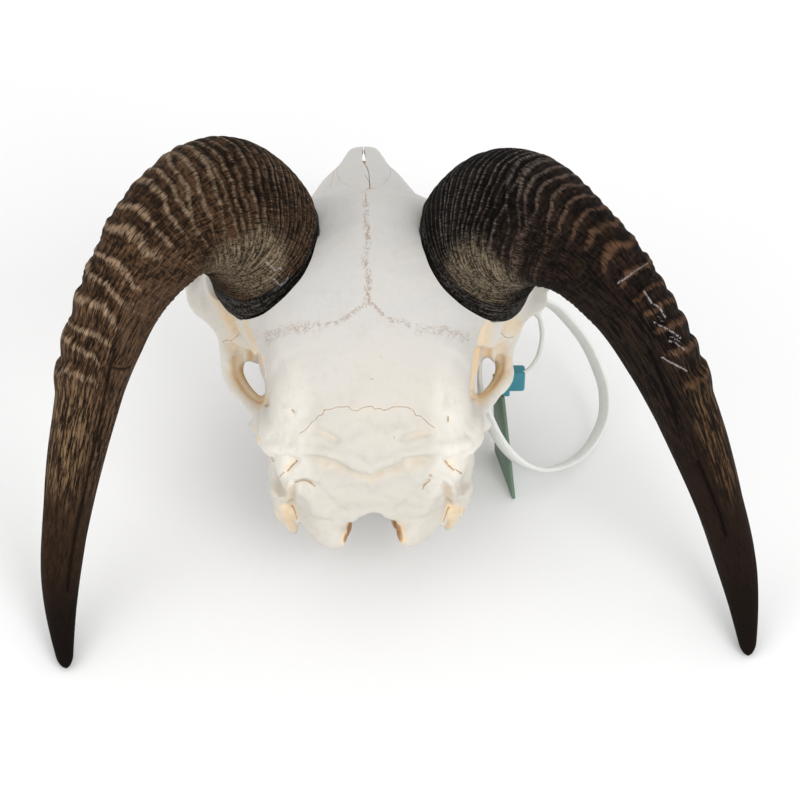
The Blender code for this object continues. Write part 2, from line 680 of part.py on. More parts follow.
def main():
    clear_scene()
    parts = collection("aoudad_skull")
    cutters = collection("cutters")

    skull = whole_skull(cutters)
    cranium = bone_piece("cranium", skull, parts)
    add_boolean(cranium, floor_cutter(cutters))
    add_boolean(cranium, horn_seat_cutter(cutters))
    add_boolean(cranium, nasal_bed_cutter(cutters))
    add_boolean(cranium, tooth_gap_cutter(cutters))
    add_boolean(cranium, snout_region(cutters, "snout_off", (-40.0, 40.0), 0.0))
    for side, word in ((-1, "left"), (1, "right")):
        add_boolean(cranium, cheek_region(side, 0.0, cutters, "cheek_off_" + word))
        premaxilla = bone_piece("premaxilla_" + word, skull, parts)
        half = (side * GAP / 2, side * 40.0)
        add_boolean(premaxilla, snout_region(cutters, "snout_on_" + word, half, GAP), "INTERSECT")
        zygomatic = bone_piece("zygomatic_" + word, skull, parts)
        add_boolean(zygomatic, cheek_region(side, GAP, cutters, "cheek_on_" + word), "INTERSECT")
        nasal_bone(side, "nasal_" + word, parts)
    horn("horn_left", LEFT_HORN, parts)
    horn("horn_right", RIGHT_HORN, parts)
    seal(parts, cutters)


main()
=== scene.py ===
"""The looks of a Barbary sheep's skull with its horns and a plastic seal, built on its CAD frame."""

import math

import bpy
import numpy as np
from bpy.props import FloatProperty, FloatVectorProperty, PointerProperty
from mathutils import Matrix, Vector, noise
from mathutils.bvhtree import BVHTree


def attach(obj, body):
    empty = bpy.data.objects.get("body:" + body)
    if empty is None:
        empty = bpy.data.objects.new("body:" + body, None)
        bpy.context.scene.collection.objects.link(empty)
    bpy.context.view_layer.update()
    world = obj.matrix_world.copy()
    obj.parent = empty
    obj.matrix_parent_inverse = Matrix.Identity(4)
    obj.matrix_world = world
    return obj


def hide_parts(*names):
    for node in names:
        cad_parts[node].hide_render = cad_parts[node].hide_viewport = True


bl_info = {
    "name": "Barbary Sheep Skull",
    "version": (1, 0, 0),
    "blender": (4, 5, 0),
    "location": "View3D > Sidebar > Skull",
    "description": "Models a horned skull with its seal, and the stage it lies on",
    "category": "Add Mesh",
}

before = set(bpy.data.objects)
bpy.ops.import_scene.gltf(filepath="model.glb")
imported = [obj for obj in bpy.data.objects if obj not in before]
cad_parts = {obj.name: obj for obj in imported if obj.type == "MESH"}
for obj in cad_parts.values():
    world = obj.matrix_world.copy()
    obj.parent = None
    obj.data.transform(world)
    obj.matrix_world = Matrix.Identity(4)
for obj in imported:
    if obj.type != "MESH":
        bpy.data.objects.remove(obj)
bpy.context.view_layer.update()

MM = 0.001
# The skull's own frame, in mm: x = 0 is the midline, y = 0 lies under the back of the condyles, +Y
# runs to the nose and z = 0 is the floor. ORIGIN is the floor point under the model's origin.
ORIGIN = (11.1, 105.8)

# The camera, in the same frame: what it looks at, its turn, height and roll in degrees, its distance
# in mm and its focal length in pixels of an image IMAGE_SIZE wide.
SIGHT_TARGET = (12.0, 60.5, 60.0)
SIGHT_TURN = -1.0
SIGHT_HEIGHT = 46.0
SIGHT_ROLL = 0.2
SIGHT_DISTANCE = 1100.0
SIGHT_FOCAL = 2732.0
IMAGE_SIZE = 800
SENSOR_WIDTH = 36.0

CORNER = math.radians(52)                   # faces that meet at more than this look like an edge

GRAIN = 0.95         # size of the fused bone's faces, in mm
SEAM = 0.04                                 # half the gap between two bones, in mm
PIECE_TRIANGLES = 185000                    # the most that one bone is given
SHELTER_RAYS = 14      # rays that feel for bone over each point
SHELTER_REACH = 32.0                        # how far they feel, in mm
FAR_AWAY = 9.0                              # stands for a distance from any mark
SEAM_BROWN = (0.33, 0.19, 0.10)
CRACK_BROWN = (0.21, 0.085, 0.022)
SCRATCH_GREY = (0.46, 0.42, 0.42)

# Cross-sections: y, half width, height of the widest level, top, bottom, roundness above, below.
BODY_SECTIONS = (
    (3.0, 23.0, 67.0, 87.0, 50.0, 2.3, 2.2),
    (10.0, 33.0, 68.0, 94.0, 42.0, 2.4, 2.3),
    (20.0, 37.5, 71.0, 103.5, 38.0, 2.7, 2.4),
    (33.0, 39.5, 75.0, 115.0, 38.0, 3.4, 2.6),
    (48.0, 41.0, 76.0, 124.5, 39.0, 4.0, 2.8),
    (62.0, 43.0, 77.0, 130.5, 41.0, 4.0, 2.8),
    (76.0, 44.5, 80.0, 134.0, 46.0, 2.4, 2.4),
    (92.0, 30.0, 82.0, 135.0, 45.0, 2.0, 2.0),
    (108.0, 26.0, 74.0, 129.0, 34.0, 2.0, 2.4),
    (122.0, 31.0, 62.0, 117.5, 16.0, 2.0, 4.0),
    (138.0, 33.5, 52.0, 109.8, 11.0, 2.0, 5.0),
    (154.0, 31.0, 45.0, 101.3, 10.0, 2.1, 5.0),
    (170.0, 26.5, 40.0, 92.5, 10.0, 2.1, 4.0),
    (184.0, 21.5, 35.0, 84.0, 10.0, 2.0, 3.0),
    (197.0, 17.5, 30.0, 74.0, 10.0, 2.0, 2.6),
)
ROOF_SECTIONS = (
    (36.0, 39.0, 90.0, 117.0, 84.0, 3.4, 2.0),
    (44.0, 42.0, 94.0, 122.3, 86.0, 3.6, 2.0),
    (52.0, 46.5, 98.0, 127.0, 88.0, 3.6, 2.0),
    (59.0, 51.0, 101.0, 130.5, 90.0, 3.2, 2.0),
    (66.0, 54.5, 101.0, 133.0, 90.0, 2.5, 2.0),
    (74.0, 57.0, 100.0, 135.0, 91.0, 1.9, 2.0),
    (86.0, 61.0, 98.0, 136.0, 90.0, 1.4, 2.0),
    (99.0, 64.0, 97.0, 134.0, 89.0, 1.4, 2.0),
    (111.0, 58.0, 95.0, 127.5, 87.0, 1.6, 2.0),
    (122.0, 47.0, 90.0, 118.0, 82.0, 1.8, 2.0),
    (134.0, 34.0, 82.0, 111.5, 72.0, 2.0, 2.0),
)
SNOUT_TIP = 238.0
SNOUT_SECTIONS = (
    (184.0, 18.5, 28.0, 62.0, 10.0, 2.0, 3.0),
    (200.0, 16.5, 24.0, 50.0, 9.0, 2.0, 3.0),
    (216.0, 15.0, 19.0, 36.0, 7.5, 2.0, 2.6),
    (230.0, 13.5, 14.0, 23.0, 7.0, 2.0, 2.2),
    (SNOUT_TIP, 8.5, 12.5, 16.0, 8.5, 2.0, 2.0),
)
# The nasal bones: y, z of the top line, half width of the pair, drop at the outer edge, and where the
# seam between the two runs, x and half its width.
NASAL_STATIONS = (
    (126.0, 115.6, 3.5, 0.5, 1.6, 0.12),
    (134.0, 111.9, 7.5, 1.2, 2.0, 0.12),
    (146.0, 105.8, 10.2, 2.2, 2.2, 0.12),
    (155.0, 101.0, 11.2, 3.0, 1.6, 0.15),
    (162.0, 97.2, 11.4, 3.4, 0.5, 0.2),
    (166.0, 95.0, 11.2, 3.4, 0.2, 0.6),
    (178.0, 88.2, 9.8, 3.4, 0.1, 0.75),
    (190.0, 80.8, 8.2, 2.8, 0.0, 0.5),
    (194.0, 78.2, 7.4, 2.2, 0.0, 0.15),
    (200.0, 74.4, 5.8, 1.4, 0.0, 0.15),
)
NASAL_THICKNESS = 2.6
# How far above and below the nasal bones' top two cutters reach: the one that makes room for both bones,
# and the one that takes a bone out of the whole skull.
NASAL_ROOM = (9.0, 2.9)
NASAL_CUT = (8.0, 2.8)
# The face leans this far over to the left by the time it reaches the nose, in mm.
FACE_LEAN = 1.8
FACE_LEAN_FROM = 95.0
FACE_LEAN_TO = 150.0
ORBIT_CENTRE = (61.0, 100.0, 78.0)
ORBIT_AXIS = (0.90, 0.33, -0.28)
ORBIT_RIM = ((65.5, 103.0, 100.0), (70.0, 93.0, 98.0), (70.0, 83.5, 91.0), (63.5, 78.5, 82.0),
             (56.5, 77.0, 73.0), (54.5, 80.0, 63.0), (55.5, 90.0, 56.0), (54.5, 103.0, 54.5),
             (51.0, 115.0, 59.5), (49.0, 122.5, 70.0), (50.0, 124.0, 82.0), (55.0, 119.5, 92.5),
             (61.0, 112.0, 98.5), (65.5, 103.0, 100.0))
ORBIT_RIM_RADIUS = 3.7
# Along the orbit's axis from its centre: where the bony cup and its hollow start and end, and their radii.
ORBIT_CUP = (-36.0, -3.0, 19.0, 24.5)
ORBIT_HOLLOW = (14.0, -31.0, 25.5, 8.0)
ORBIT_BACK = ((45.0, 91.0, 68.0), (5.0, 13.0, 12.0))    # the opening behind it: centre and half sizes
HORN_SEAT = (44.5, 86.0, 114.5)
HORN_AXIS = (0.50, -0.12, 0.855)
HORN_BASE_RADIUS = 27.5

# Bars of bone on the right side, which the left side mirrors: the middle line, and the radius at each
# of its points.
SIDE_BARS = (
    # Postorbital process.
    (((60, 90, 96), (64, 83, 92), (59, 79, 83), (53.5, 78, 73)), (7.5, 6.5, 4.5, 3.5)),
    # Zygomatic arch, and the cheekbone in front of it.
    (((57, 90, 59), (55.4, 77, 58), (51, 65.5, 59), (45.5, 55, 61), (39.5, 44, 63)),
     (6.0, 4.6, 4.4, 4.6, 6.0)),
    (((56, 98, 57), (48, 115, 51), (38, 133, 44), (30, 152, 36)), (6.0, 8.5, 8.0, 5.0)),
    # The two crests over the ear, the bony ear opening, and the spike behind it.
    (((43, 48, 65), (42.5, 38, 69), (42.2, 28, 71.5)), (2.6, 2.6, 2.6)),
    (((38, 54, 68), (38, 42, 73), (37.6, 30, 76), (35.5, 21, 78.5)), (4.0, 5.2, 5.8, 5.4)),
    (((28, 38, 46), (36, 36, 50), (40, 35, 52)), (5.5, 4.8, 4.2)),
    (((36, 28, 48), (36, 25, 38), (35.5, 25, 28)), (4.5, 3.0, 1.8)),
    # Nuchal crest: a swollen band with an overhanging edge.
    (((39, 27, 73.5), (35, 19, 78.5), (28, 14, 82.5), (19, 11.5, 85)), (4.0, 4.6, 5.0, 5.0)),
    (((42.5, 29, 71), (38.5, 21.5, 74), (31, 13, 82), (21, 8, 86.6), (10, 4.5, 86.5), (0, 2.7, 83.5)),
     (2.4, 2.8, 2.8, 2.6, 2.6, 3.4)),
    # Paracondylar process.
    (((33.5, 18, 56), (34, 20, 43), (32.5, 24, 28), (30, 29, 14)), (6.5, 5.0, 4.0, 2.2)),
)
# Swellings on the right side: centre, half sizes, turn in degrees, and segments round.
SIDE_SWELLINGS = (
    # The thin crest behind the postorbital process.
    ((49.4, 76.0, 74.6), (2.2, 5.0, 9.8), 0, 32),
    ((45.0, 76.5, 78.0), (6.0, 3.6, 12.5), 0, 32),
    # The zygomatic arch's broad root.
    ((41.5, 54.0, 59.0), (7.5, 11.0, 4.5), 20, 32),
    # Temporal bone over the ear, and the bulb under it.
    ((34.5, 30.0, 58.0), (6.5, 12.0, 16.0), 0, 32),
    ((25.0, 43.0, 34.0), (7.5, 11.0, 9.5), 0, 32),
    # Occipital condyle, and its lower lobe.
    ((20.4, 12.0, 43.0), (9.0, 17.2, 10.7), -33, 64),
    ((11.5, 6.0, 34.5), (6.5, 16.0, 9.0), 0, 32),
    # Pterygoid plate, and the swelling behind the last molar.
    ((12.0, 93.0, 37.0), (2.4, 14.0, 14.0), 0, 32),
    ((27.0, 110.0, 28.0), (8.0, 11.0, 18.0), 0, 32),
)
SKULL_BASE = ((0.0, 46.0, 41.0), (13.0, 34.0, 8.5))      # centre and half sizes
BRAIN = ((0.0, 40.0, 75.0), (24.0, 26.0, 24.0))
UNDERGROUND = ((0.0, 110.0, -10.0), (200.0, 320.0, 20.0))    # centre and sizes of what the floor cuts off

FORAMEN_CENTRE = (0.0, 14.0, 49.6)
FORAMEN_HEADING = (0.0, 0.72, 0.69)
FORAMEN_SPAN = (-13, 20)                                # from the centre along the heading
FORAMEN_RADII = (11.2, 10.6)
# The gap between the condyles: y and half width, and the levels that it lies between.
CONDYLE_GAP = ((-14.0, 12.4), (6.0, 7.8), (24.0, 7.4))
CONDYLE_GAP_BOTTOM = 20.0
CONDYLE_GAP_TOP = 50.0
# Two hollows as bars, and the nose's opening as an outline from the side, y and z.
NASAL_CAVITY = (((0, 152, 66), (0, 172, 58), (0, 196, 47), (0, 222, 41), (0, 250, 40)),
                (9.0, 12.0, 12.5, 14.0, 18.0))
PALATE_VAULT = (((0, 90, 26), (0, 118, 11), (0, 160, 6), (0, 200, 3), (0, 222, 0)),
                (9.0, 13.0, 14.0, 12.0, 7.0))
NOSE_OPENING = ((175.0, 80.0), (184.0, 66.0), (197.0, 53.0), (212.0, 39.0), (226.0, 26.0), (240.0, 18.5),
                (262.0, 17.0), (262.0, 96.0), (215.0, 120.0), (178.0, 110.0))
FACE_REACH = 40.0                                       # past the face's sides
# The premaxilla from the side, y and z, and the cheekbone from above, with the height of its upper edge.
SNOUT_SUTURE = ((177.0, 95.0), (183.5, 50.0), (190.0, -5.0))
SNOUT_END = ((260.0, -5.0), (260.0, 95.0))
CHEEK_SUTURE = ((44.5, 61.0, 66.0), (62.0, 53.0, 68.0), (90.0, 52.0, 80.0), (90.0, 124.0, 62.0),
                (45.0, 124.0, 62.0), (45.0, 96.0, 72.0), (51.2, 86.0, 79.0), (51.2, 73.0, 79.0))
# How far the gap at the suture moves each of those corners, as a share of it in x and y.
CHEEK_GAPS = ((1, 1), (0, 1), (0, 1), (0, -1), (1, -1), (1, 0), (1, 0), (1, 0))
CHEEK_BOTTOM = 30.0

TOOTH_LENGTHS = (8.5, 9.5, 10.0, 13.0, 15.0, 16.0)      # from the first premolar to the last molar
TOOTH_WIDTHS = (8.0, 9.5, 11.0, 13.0, 14.0, 13.0)
TOOTH_ROW_FRONT = (20.5, 184.0)
TOOTH_ROW_BACK = (29.0, 111.0)
TOOTH_HEIGHT = 14.0
TOOTH_GAP = 0.5
MOLAR_LENGTH = 12.0                                     # a longer tooth is a molar, with two lobes
MOLAR_TAPER = 0.2                                       # how much its width shrinks towards the back
TOOTH_ROUNDING = 1.6

# The horns' centre lines: x, y, z and radius.
LEFT_HORN = (
    (-44.5, 86.0, 114.5, 27.5),
    (-50.5, 84.0, 136.5, 27.0),
    (-61.5, 74.0, 151.5, 25.5),
    (-75.5, 62.0, 152.5, 21.0),
    (-89.0, 51.0, 139.5, 16.8),
    (-102.0, 41.5, 113.0, 14.3),
    (-111.0, 32.0, 83.0, 12.0),
    (-118.5, 20.0, 51.0, 9.8),
    (-123.5, 0.5, 20.0, 7.4),
    (-120.8, -29.0, 2.0, 2.6),
)
RIGHT_HORN = (
    (44.5, 86.0, 114.5, 27.5),
    (52.5, 81.0, 136.0, 27.5),
    (65.0, 66.5, 148.5, 24.0),
    (79.5, 54.0, 148.0, 18.3),
    (96.0, 43.5, 134.0, 15.2),
    (111.5, 33.5, 110.5, 13.5),
    (124.5, 24.5, 82.5, 11.6),
    (136.5, 13.0, 51.0, 9.4),
    (146.0, -1.0, 20.5, 7.2),
    (149.0, -26.0, 1.8, 2.6),
)
HORN_KEEL = 0.07                            # how far the section stands out towards its three blunt keels
HORN_TIP = 5.0                              # length that the tip is rounded over, in mm
HORN_ROOT = 42.0                            # length of horn that the bone makes room for
HORN_CLEARANCE = 0.35                       # round it
HORN_SINK = 0.3                             # and under it
RIM_CLEARANCE = 0.15                        # between its rim and the bone that would hide the rim
RIM_RUN = 1.6                               # from the horn's base to the rim
RIM_REACH = 45.0                            # how far towards the camera the bone is cleared
# The outlines of the horns' bases: turn in degrees from the outer side, where 90 is the back, and the
# reach in mm.
BASE_OUTLINE = {
    -1: ((-180, 27.8), (-150, 29.0), (-120, 28.0), (-90, 26.5), (-60, 24.5), (-30, 22.0), (0, 20.2),
         (25, 20.2), (41, 21.4), (56, 24.0), (70, 27.6), (80, 30.2), (90, 31.4), (105, 31.2),
         (120, 30.0), (140, 29.0), (160, 28.0), (180, 27.8)),
    1: ((-180, 28.2), (-150, 29.2), (-120, 28.4), (-90, 27.0), (-60, 25.0), (-30, 22.4), (0, 20.8),
        (25, 21.6), (41, 24.6), (56, 28.2), (70, 31.0), (80, 31.8), (90, 32.0), (105, 31.8),
        (120, 31.0), (140, 29.8), (160, 28.6), (180, 28.2)),
}
HORN_RINGS = 520
HORN_SIDES = 180

# Crests of the horns' coarse ridges, each from the outer edge inwards, in pixels of the photograph's
# frame, and the other marks on the horns: grooves, pale scratches and the middle of the matt patch.
LEFT_RIDGES = (
    ((177, 143), (189, 147), (200, 157), (209, 171), (216, 190), (222, 215), (225, 240)),
    ((170, 147), (179, 154), (189, 166), (196, 179), (201, 194), (209, 216), (213, 236), (214, 247)),
    ((160, 153), (166, 156), (173, 168), (181, 179), (186, 189), (189, 205), (194, 225)),
    ((151, 166), (163, 174), (174, 188), (177, 199)),
    ((138, 177), (151, 184), (163, 194), (167, 205), (169, 216)),
    ((122, 205), (136, 208), (146, 212), (154, 222), (159, 234)),
    ((113, 227), (121, 227), (134, 231), (143, 239), (148, 249)),
    ((98, 252), (107, 258), (123, 266), (130, 276), (133, 284)),
    ((90, 266), (107, 284), (121, 299)),
    ((79, 297), (91, 297), (101, 304), (110, 312), (117, 325)),
    ((70, 323), (89, 330), (103, 338), (112, 345)),
    ((63, 345), (81, 347), (93, 354), (101, 366), (106, 378)),
    ((60, 370), (75, 368), (87, 373), (98, 383)),
)
RIGHT_RIDGES = (
    ((532, 157), (521, 161), (512, 172), (508, 190), (507, 210), (509, 232)),
    ((544, 162), (531, 167), (523, 174), (520, 191), (518, 206), (519, 230)),
    ((556, 168), (543, 172), (533, 180), (527, 191), (525, 209), (526, 226)),
    ((566, 176), (551, 181), (541, 189), (537, 201), (534, 214)),
    ((577, 186), (563, 188), (552, 197), (549, 209), (547, 226), (547, 248)),
    ((588, 197), (575, 199), (566, 206), (560, 219), (559, 232)),
    ((600, 210), (587, 211), (580, 217), (575, 226), (571, 240)),
    ((613, 225), (600, 225), (592, 234), (586, 246), (584, 257)),
    ((628, 243), (615, 243), (607, 252), (603, 263), (600, 271)),
    ((645, 264), (635, 270), (624, 277), (618, 285)),
    ((659, 284), (648, 288), (640, 295)),
    ((669, 300), (660, 304), (648, 312)),
    ((681, 321), (668, 324), (656, 330)),
    ((693, 342), (682, 346), (668, 352)),
    ((707, 372), (697, 378), (686, 384)),
)
LEFT_GROOVES = (
    ((115, 350), (111, 366), (108, 382), (105, 396), (101, 420), (95, 444), (88, 480), (82, 506), (77, 530),
     (72, 560), (68, 590)),
    ((111, 368), (122, 370), (131, 367)),
)
RIGHT_GROOVES = (
    ((649, 352), (656, 366), (664, 386), (670, 400), (677, 424)),
    ((698, 462), (708, 486), (718, 510), (726, 536)),
)
LEFT_SCRATCHES = (((274, 279), (280, 286), (287, 281), (289, 274)), ((266, 262), (275, 270), (281, 268)))
RIGHT_SCRATCHES = (
    ((618, 283), (626, 277), (634, 271), (646, 264)),
    ((643, 292), (652, 303), (659, 309), (665, 317)),
    ((654, 322), (664, 328), (680, 338)),
    ((669, 341), (675, 343), (682, 350)),
    ((662, 357), (674, 364), (687, 371)),
)
LEFT_PATCH = (247, 267)
RIGHT_PATCH = (484, 280)
# Each horn's colours, how much its crests are lightened by wearing and painted highlight, how much they
# fade to the tip, and where it darkens. The grooves' colour is painted shade.
LEFT_TONES = {
    "valley": (0.013, 0.008, 0.005), "grain": (0.23, 0.130, 0.068), "inner": (0.085, 0.054, 0.035),
    "crest_near": (0.24, 0.185, 0.130), "crest_far": (0.50, 0.345, 0.220), "wear_and_highlight": 0.9, "fade": 0.3,
    "dark_end": (155.0, 200.0), "end": (0.030, 0.016, 0.009),
    "patch": (0.36, 0.275, 0.180), "patch_line": (0.035, 0.026, 0.018), "streak": (0.34, 0.225, 0.120),
    "groove_shade": (0.006, 0.004, 0.003), "tip": (0.007, 0.005, 0.004), "rim": (0.011, 0.010, 0.009),
    "rim_fibre": (0.150, 0.138, 0.125)}
RIGHT_TONES = {
    "valley": (0.004, 0.0034, 0.003), "grain": (0.052, 0.029, 0.018), "inner": (0.018, 0.013, 0.010),
    "crest_near": (0.20, 0.18, 0.165), "crest_far": (0.20, 0.105, 0.058), "wear_and_highlight": 0.85, "fade": 0.7,
    "dark_end": (125.0, 175.0), "end": (0.022, 0.012, 0.008),
    "patch": (0.36, 0.285, 0.190), "patch_line": (0.030, 0.023, 0.017), "streak": (0.22, 0.130, 0.060),
    "groove_shade": (0.003, 0.002, 0.002), "tip": (0.010, 0.007, 0.005), "rim": (0.011, 0.009, 0.008),
    "rim_fibre": (0.130, 0.120, 0.110)}

STRAP_WIDTH = 6.5
STRAP_THICKNESS = 1.6
STRAP_EDGE = 0.35                           # how far its edges are rounded
LINE_OF_SIGHT = (0.0, 0.69, -0.72)
LOOP_AXIS = (-0.6, 0.556, -0.575)
# The strap's middle line into the orbit and out of the opening behind it, with the direction that its
# width runs in, and then the loop, whose width runs along one axis.
STRAP_ENTRY = (
    ((63.2, 88.6, 46.2), LINE_OF_SIGHT),
    ((65.6, 89.4, 47.6), LINE_OF_SIGHT),
    ((68.7, 92.0, 50.4), LINE_OF_SIGHT),
    ((70.7, 95.0, 56.2), LINE_OF_SIGHT),
    ((70.6, 98.0, 64.8), LINE_OF_SIGHT),
    ((67.5, 102.5, 72.0), (0.0, 0.4, 0.9)),
    ((58.0, 104.5, 78.5), (0.0, 0.1, 1.0)),
    ((48.5, 97.5, 79.0), (-0.1, 0.2, 0.95)),
    ((45.3, 87.0, 73.0), (-0.2, 0.5, 0.8)),
    ((44.9, 80.5, 63.0), (0.1, 0.95, 0.3)),
    ((45.3, 75.5, 50.0), (-0.2, 0.95, -0.2)),
)
STRAP_LOOP = (
    (48.4, 71.7, 37.8), (51.8, 68.4, 31.1), (56.4, 66.0, 24.0), (63.3, 65.3, 16.1), (70.7, 67.2, 10.3),
    (78.2, 71.6, 6.7), (87.6, 79.3, 4.3), (95.3, 89.3, 5.9), (99.5, 98.4, 10.4), (99.8, 105.6, 17.0),
    (96.1, 112.2, 27.3), (91.2, 116.4, 36.4), (84.5, 118.9, 45.8), (77.1, 119.6, 54.7), (68.5, 116.5, 62.0),
    (57.5, 108.0, 67.0),
)
LOCK_CENTRE = (60.4, 88.0, 43.9)
LOCK_SIZE = (7.4, 6.0, 10.6)
LOCK_ROUNDING = 1.2
NECK_CENTRE = (56.6, 86.8, 38.4)
NECK_SIZE = (2.8, 3.0, 5.6)
NECK_ROUNDING = 0.5
FLAG_TOP = (55.3, 85.3, 35.3)
FLAG_FOOT = (59.8, 59.3, 0.9)
FLAG_DEPTH = (-6.4, 28.0)                   # how far the flag's foot runs away from its near edge
FLAG_THICKNESS = 1.5
FLAG_ROUNDING = 0.35

# The stage, in metres: the floor's width, and each light's name, place, size and share of the main power.
FLOOR_SIZE = 12.0
LIGHTS = (
    ("main_light", (0.85, -1.3, 1.3), 1.0, 1.0),
    ("fill_light", (-1.3, -0.8, 1.0), 1.4, 0.45),
)

# What the photograph shows of the bone, in pixels of its frame. Outlines first: the temporal openings with
# their depth, the holes through them, and what lies outside the skull's edge at the sides and behind. Depth
# is counted towards the camera from its target, in mm.
FOSSA = {
    -1: ((44.0, ((247, 324), (249.5, 327), (255, 338), (260, 350), (262, 358), (254.5, 360), (254.5, 352),
                 (252, 342), (249, 332))),
         (14.0, ((260, 350), (263, 362), (266, 380), (268.5, 392), (270, 400), (270.5, 408), (262, 404),
                 (254, 399), (248, 392), (243, 384), (241, 374), (241.5, 365), (247, 362), (254, 363),
                 (255, 356)))),
    1: ((42.0, ((495, 316), (487, 320), (483, 326), (480, 330), (477, 338), (474.5, 348), (494, 352),
                (497, 340), (500, 332), (499, 322))),
        (14.0, ((475, 345), (473.5, 352), (472.5, 360), (471, 370), (470, 380), (469.2, 390), (469, 402),
                (474, 400), (482, 393), (489, 384), (493, 373), (494, 364), (494, 350)))),
}
FOSSA_NEAR = 130.0
HOLE_DEPTHS = (60.0, -90.0)
OUTSIDE_DEPTHS = (60.0, -40.0)
BEHIND_DEPTHS = (70.0, -25.0)
HOLE = {
    -1: ((243, 366), (246, 361), (253, 362), (256, 364), (260, 371), (265, 383), (266, 391), (262, 391),
         (256, 389), (249, 383), (245, 377), (243, 371)),
    1: ((487, 356), (482, 361), (479, 366), (476, 374), (474, 380), (473, 387), (481, 384), (487, 382),
        (489, 378), (491, 372), (492, 366), (492, 360)),
}
OUTSIDE = {
    -1: ((160, 285), (186, 288), (187, 300), (190, 308), (195, 314), (203, 320), (210, 326), (216, 333),
         (219, 342), (220, 352), (221, 366), (223, 382), (227, 388), (232, 394), (238, 399), (246, 408),
         (254, 418), (230, 440), (160, 400)),
    1: ((575, 285), (546, 290), (547, 300), (545, 308), (538, 313), (530, 317), (524, 324), (521, 332),
        (518, 340), (514, 348), (512.5, 358), (513, 366), (514, 372), (513, 380), (510, 386), (505, 392),
        (500, 396), (496, 402), (491, 408), (484, 415), (510, 440), (575, 400)),
}
BEHIND = (
    ((240, 500), (273, 505), (273.8, 516), (278.8, 522.5), (281.5, 521), (287.5, 530), (295.3, 534.6),
     (298, 530), (298.3, 519.5), (302, 522.5), (308.8, 533.8), (317.5, 542), (326, 547), (336, 549.6),
     (344, 548), (345.5, 541), (350, 534), (355, 523), (358.8, 519.4), (365, 515.6), (373, 514.6),
     (373, 590), (240, 590)),
    ((372.9, 514.6), (378.3, 515.3), (385, 518), (390.3, 521), (396, 532), (400, 540), (401.7, 543),
     (407.7, 547.3), (418.3, 544), (430.3, 535.3), (439.7, 525.3), (442.5, 521), (443.7, 526),
     (446.3, 530.5), (450.3, 529), (457, 522), (463, 515), (465.7, 504.7),
     (500, 500), (500, 590), (372.9, 590)),
)
# Strokes of the chisel: width and height in mm, then the line.
STROKES = (
    # Hollows of the postorbital bars, and the inner faces of the arches.
    (4.2, -3.2, ((219, 300), (224, 310), (229, 319), (233, 328))),
    (3.4, -2.4, ((505, 324), (509, 322), (512, 327))),
    (2.0, -1.5, ((237, 359), (236, 368), (240, 379), (246, 388), (254, 396), (263, 400))),
    (2.0, -1.5, ((500, 358), (500, 366), (497, 375), (492, 383), (484, 390), (474, 395))),
    # Muscle dimples, and the ridge down the middle of the occipital bone.
    (1.7, -1.7, ((317, 430), (324, 433), (331, 437), (336, 440))),
    (1.7, -1.5, ((404, 438), (413, 436), (422, 433), (431, 432))),
    (1.3, 0.9, ((371, 472), (371, 481), (371, 490))),
    # The nuchal crest's upper plate.
    (5.5, 1.2, ((312, 437), (326, 437), (340, 441), (352, 447))),
    (5.5, 1.2, ((432, 436), (418, 436), (404, 440), (392, 447))),
    (2.4, 0.8, ((270, 447), (280, 449), (290, 450), (300, 447))),
    (2.4, 0.8, ((470, 444), (460, 446), (450, 448), (440, 446))),
    # The hollows under the crest.
    (1.5, -1.3, ((272, 456), (283, 457), (292, 460))),
    (1.7, -1.7, ((309, 461), (318, 458.5), (326, 461), (334, 463), (341, 467), (350, 470))),
    (1.7, -1.7, ((433, 463), (424, 460), (414, 459), (405, 461), (399, 466), (392, 471))),
    (1.5, -1.3, ((470, 453), (460, 456), (451, 460))),
    (1.4, -1.2, ((355, 471), (361, 473), (366, 477))),
    (1.4, -1.2, ((388, 470), (381, 472), (376, 477))),
    (6.0, -1.3, ((318, 470), (335, 476))),
    (6.0, -1.3, ((425, 470), (408, 476))),
    # Mastoid sutures, pits, and the lines that set off the condyles.
    (0.9, -1.1, ((298, 460), (292, 465), (286, 471))),
    (0.9, -1.0, ((445, 460), (450, 466), (455, 470))),
    (1.1, -1.5, ((295, 482), (300, 480.5), (306, 480.5), (311, 483), (316, 487))),
    (1.1, -1.4, ((432, 480), (427, 483), (423, 488))),
    (1.2, -0.8, ((316, 487), (322, 492), (330, 499), (338, 506), (346, 513))),
    (1.2, -0.8, ((423, 488), (415, 495), (405, 503), (396, 511))),
    (1.3, 1.3, ((316, 480), (308, 477), (299, 476.5), (292, 480), (288.5, 488), (288, 498))),
    (1.3, 1.3, ((428, 475), (437, 474.5), (446, 477), (452, 484), (453.5, 493), (453, 501))),
    (1.3, -1.8, ((294, 486), (292, 491), (291.5, 498), (292, 504))),
    (1.3, -1.8, ((444, 483), (447.5, 489), (448.5, 496), (448.5, 503))),
    (1.5, -1.2, ((280, 484), (281, 494), (283, 506))),
    (1.5, -1.0, ((461, 483), (461, 494), (459, 504))),
    (4.6, 1.3, ((306, 496), (314, 508), (324, 521), (333, 535))),
    (4.6, 1.3, ((433, 496), (427, 508), (418, 521), (410, 534))),
    (1.3, -0.7, ((430, 474.5), (432, 475.5))),
    (0.9, -0.7, ((292, 410), (294, 412))),
    (0.9, -0.7, ((448, 417), (448, 421))),
    # Temporal lines.
    (3.0, 0.35, ((276, 345), (290, 366), (300, 385), (303, 420))),
    (3.0, 0.35, ((462, 345), (450, 366), (441, 388), (438, 418))),
)
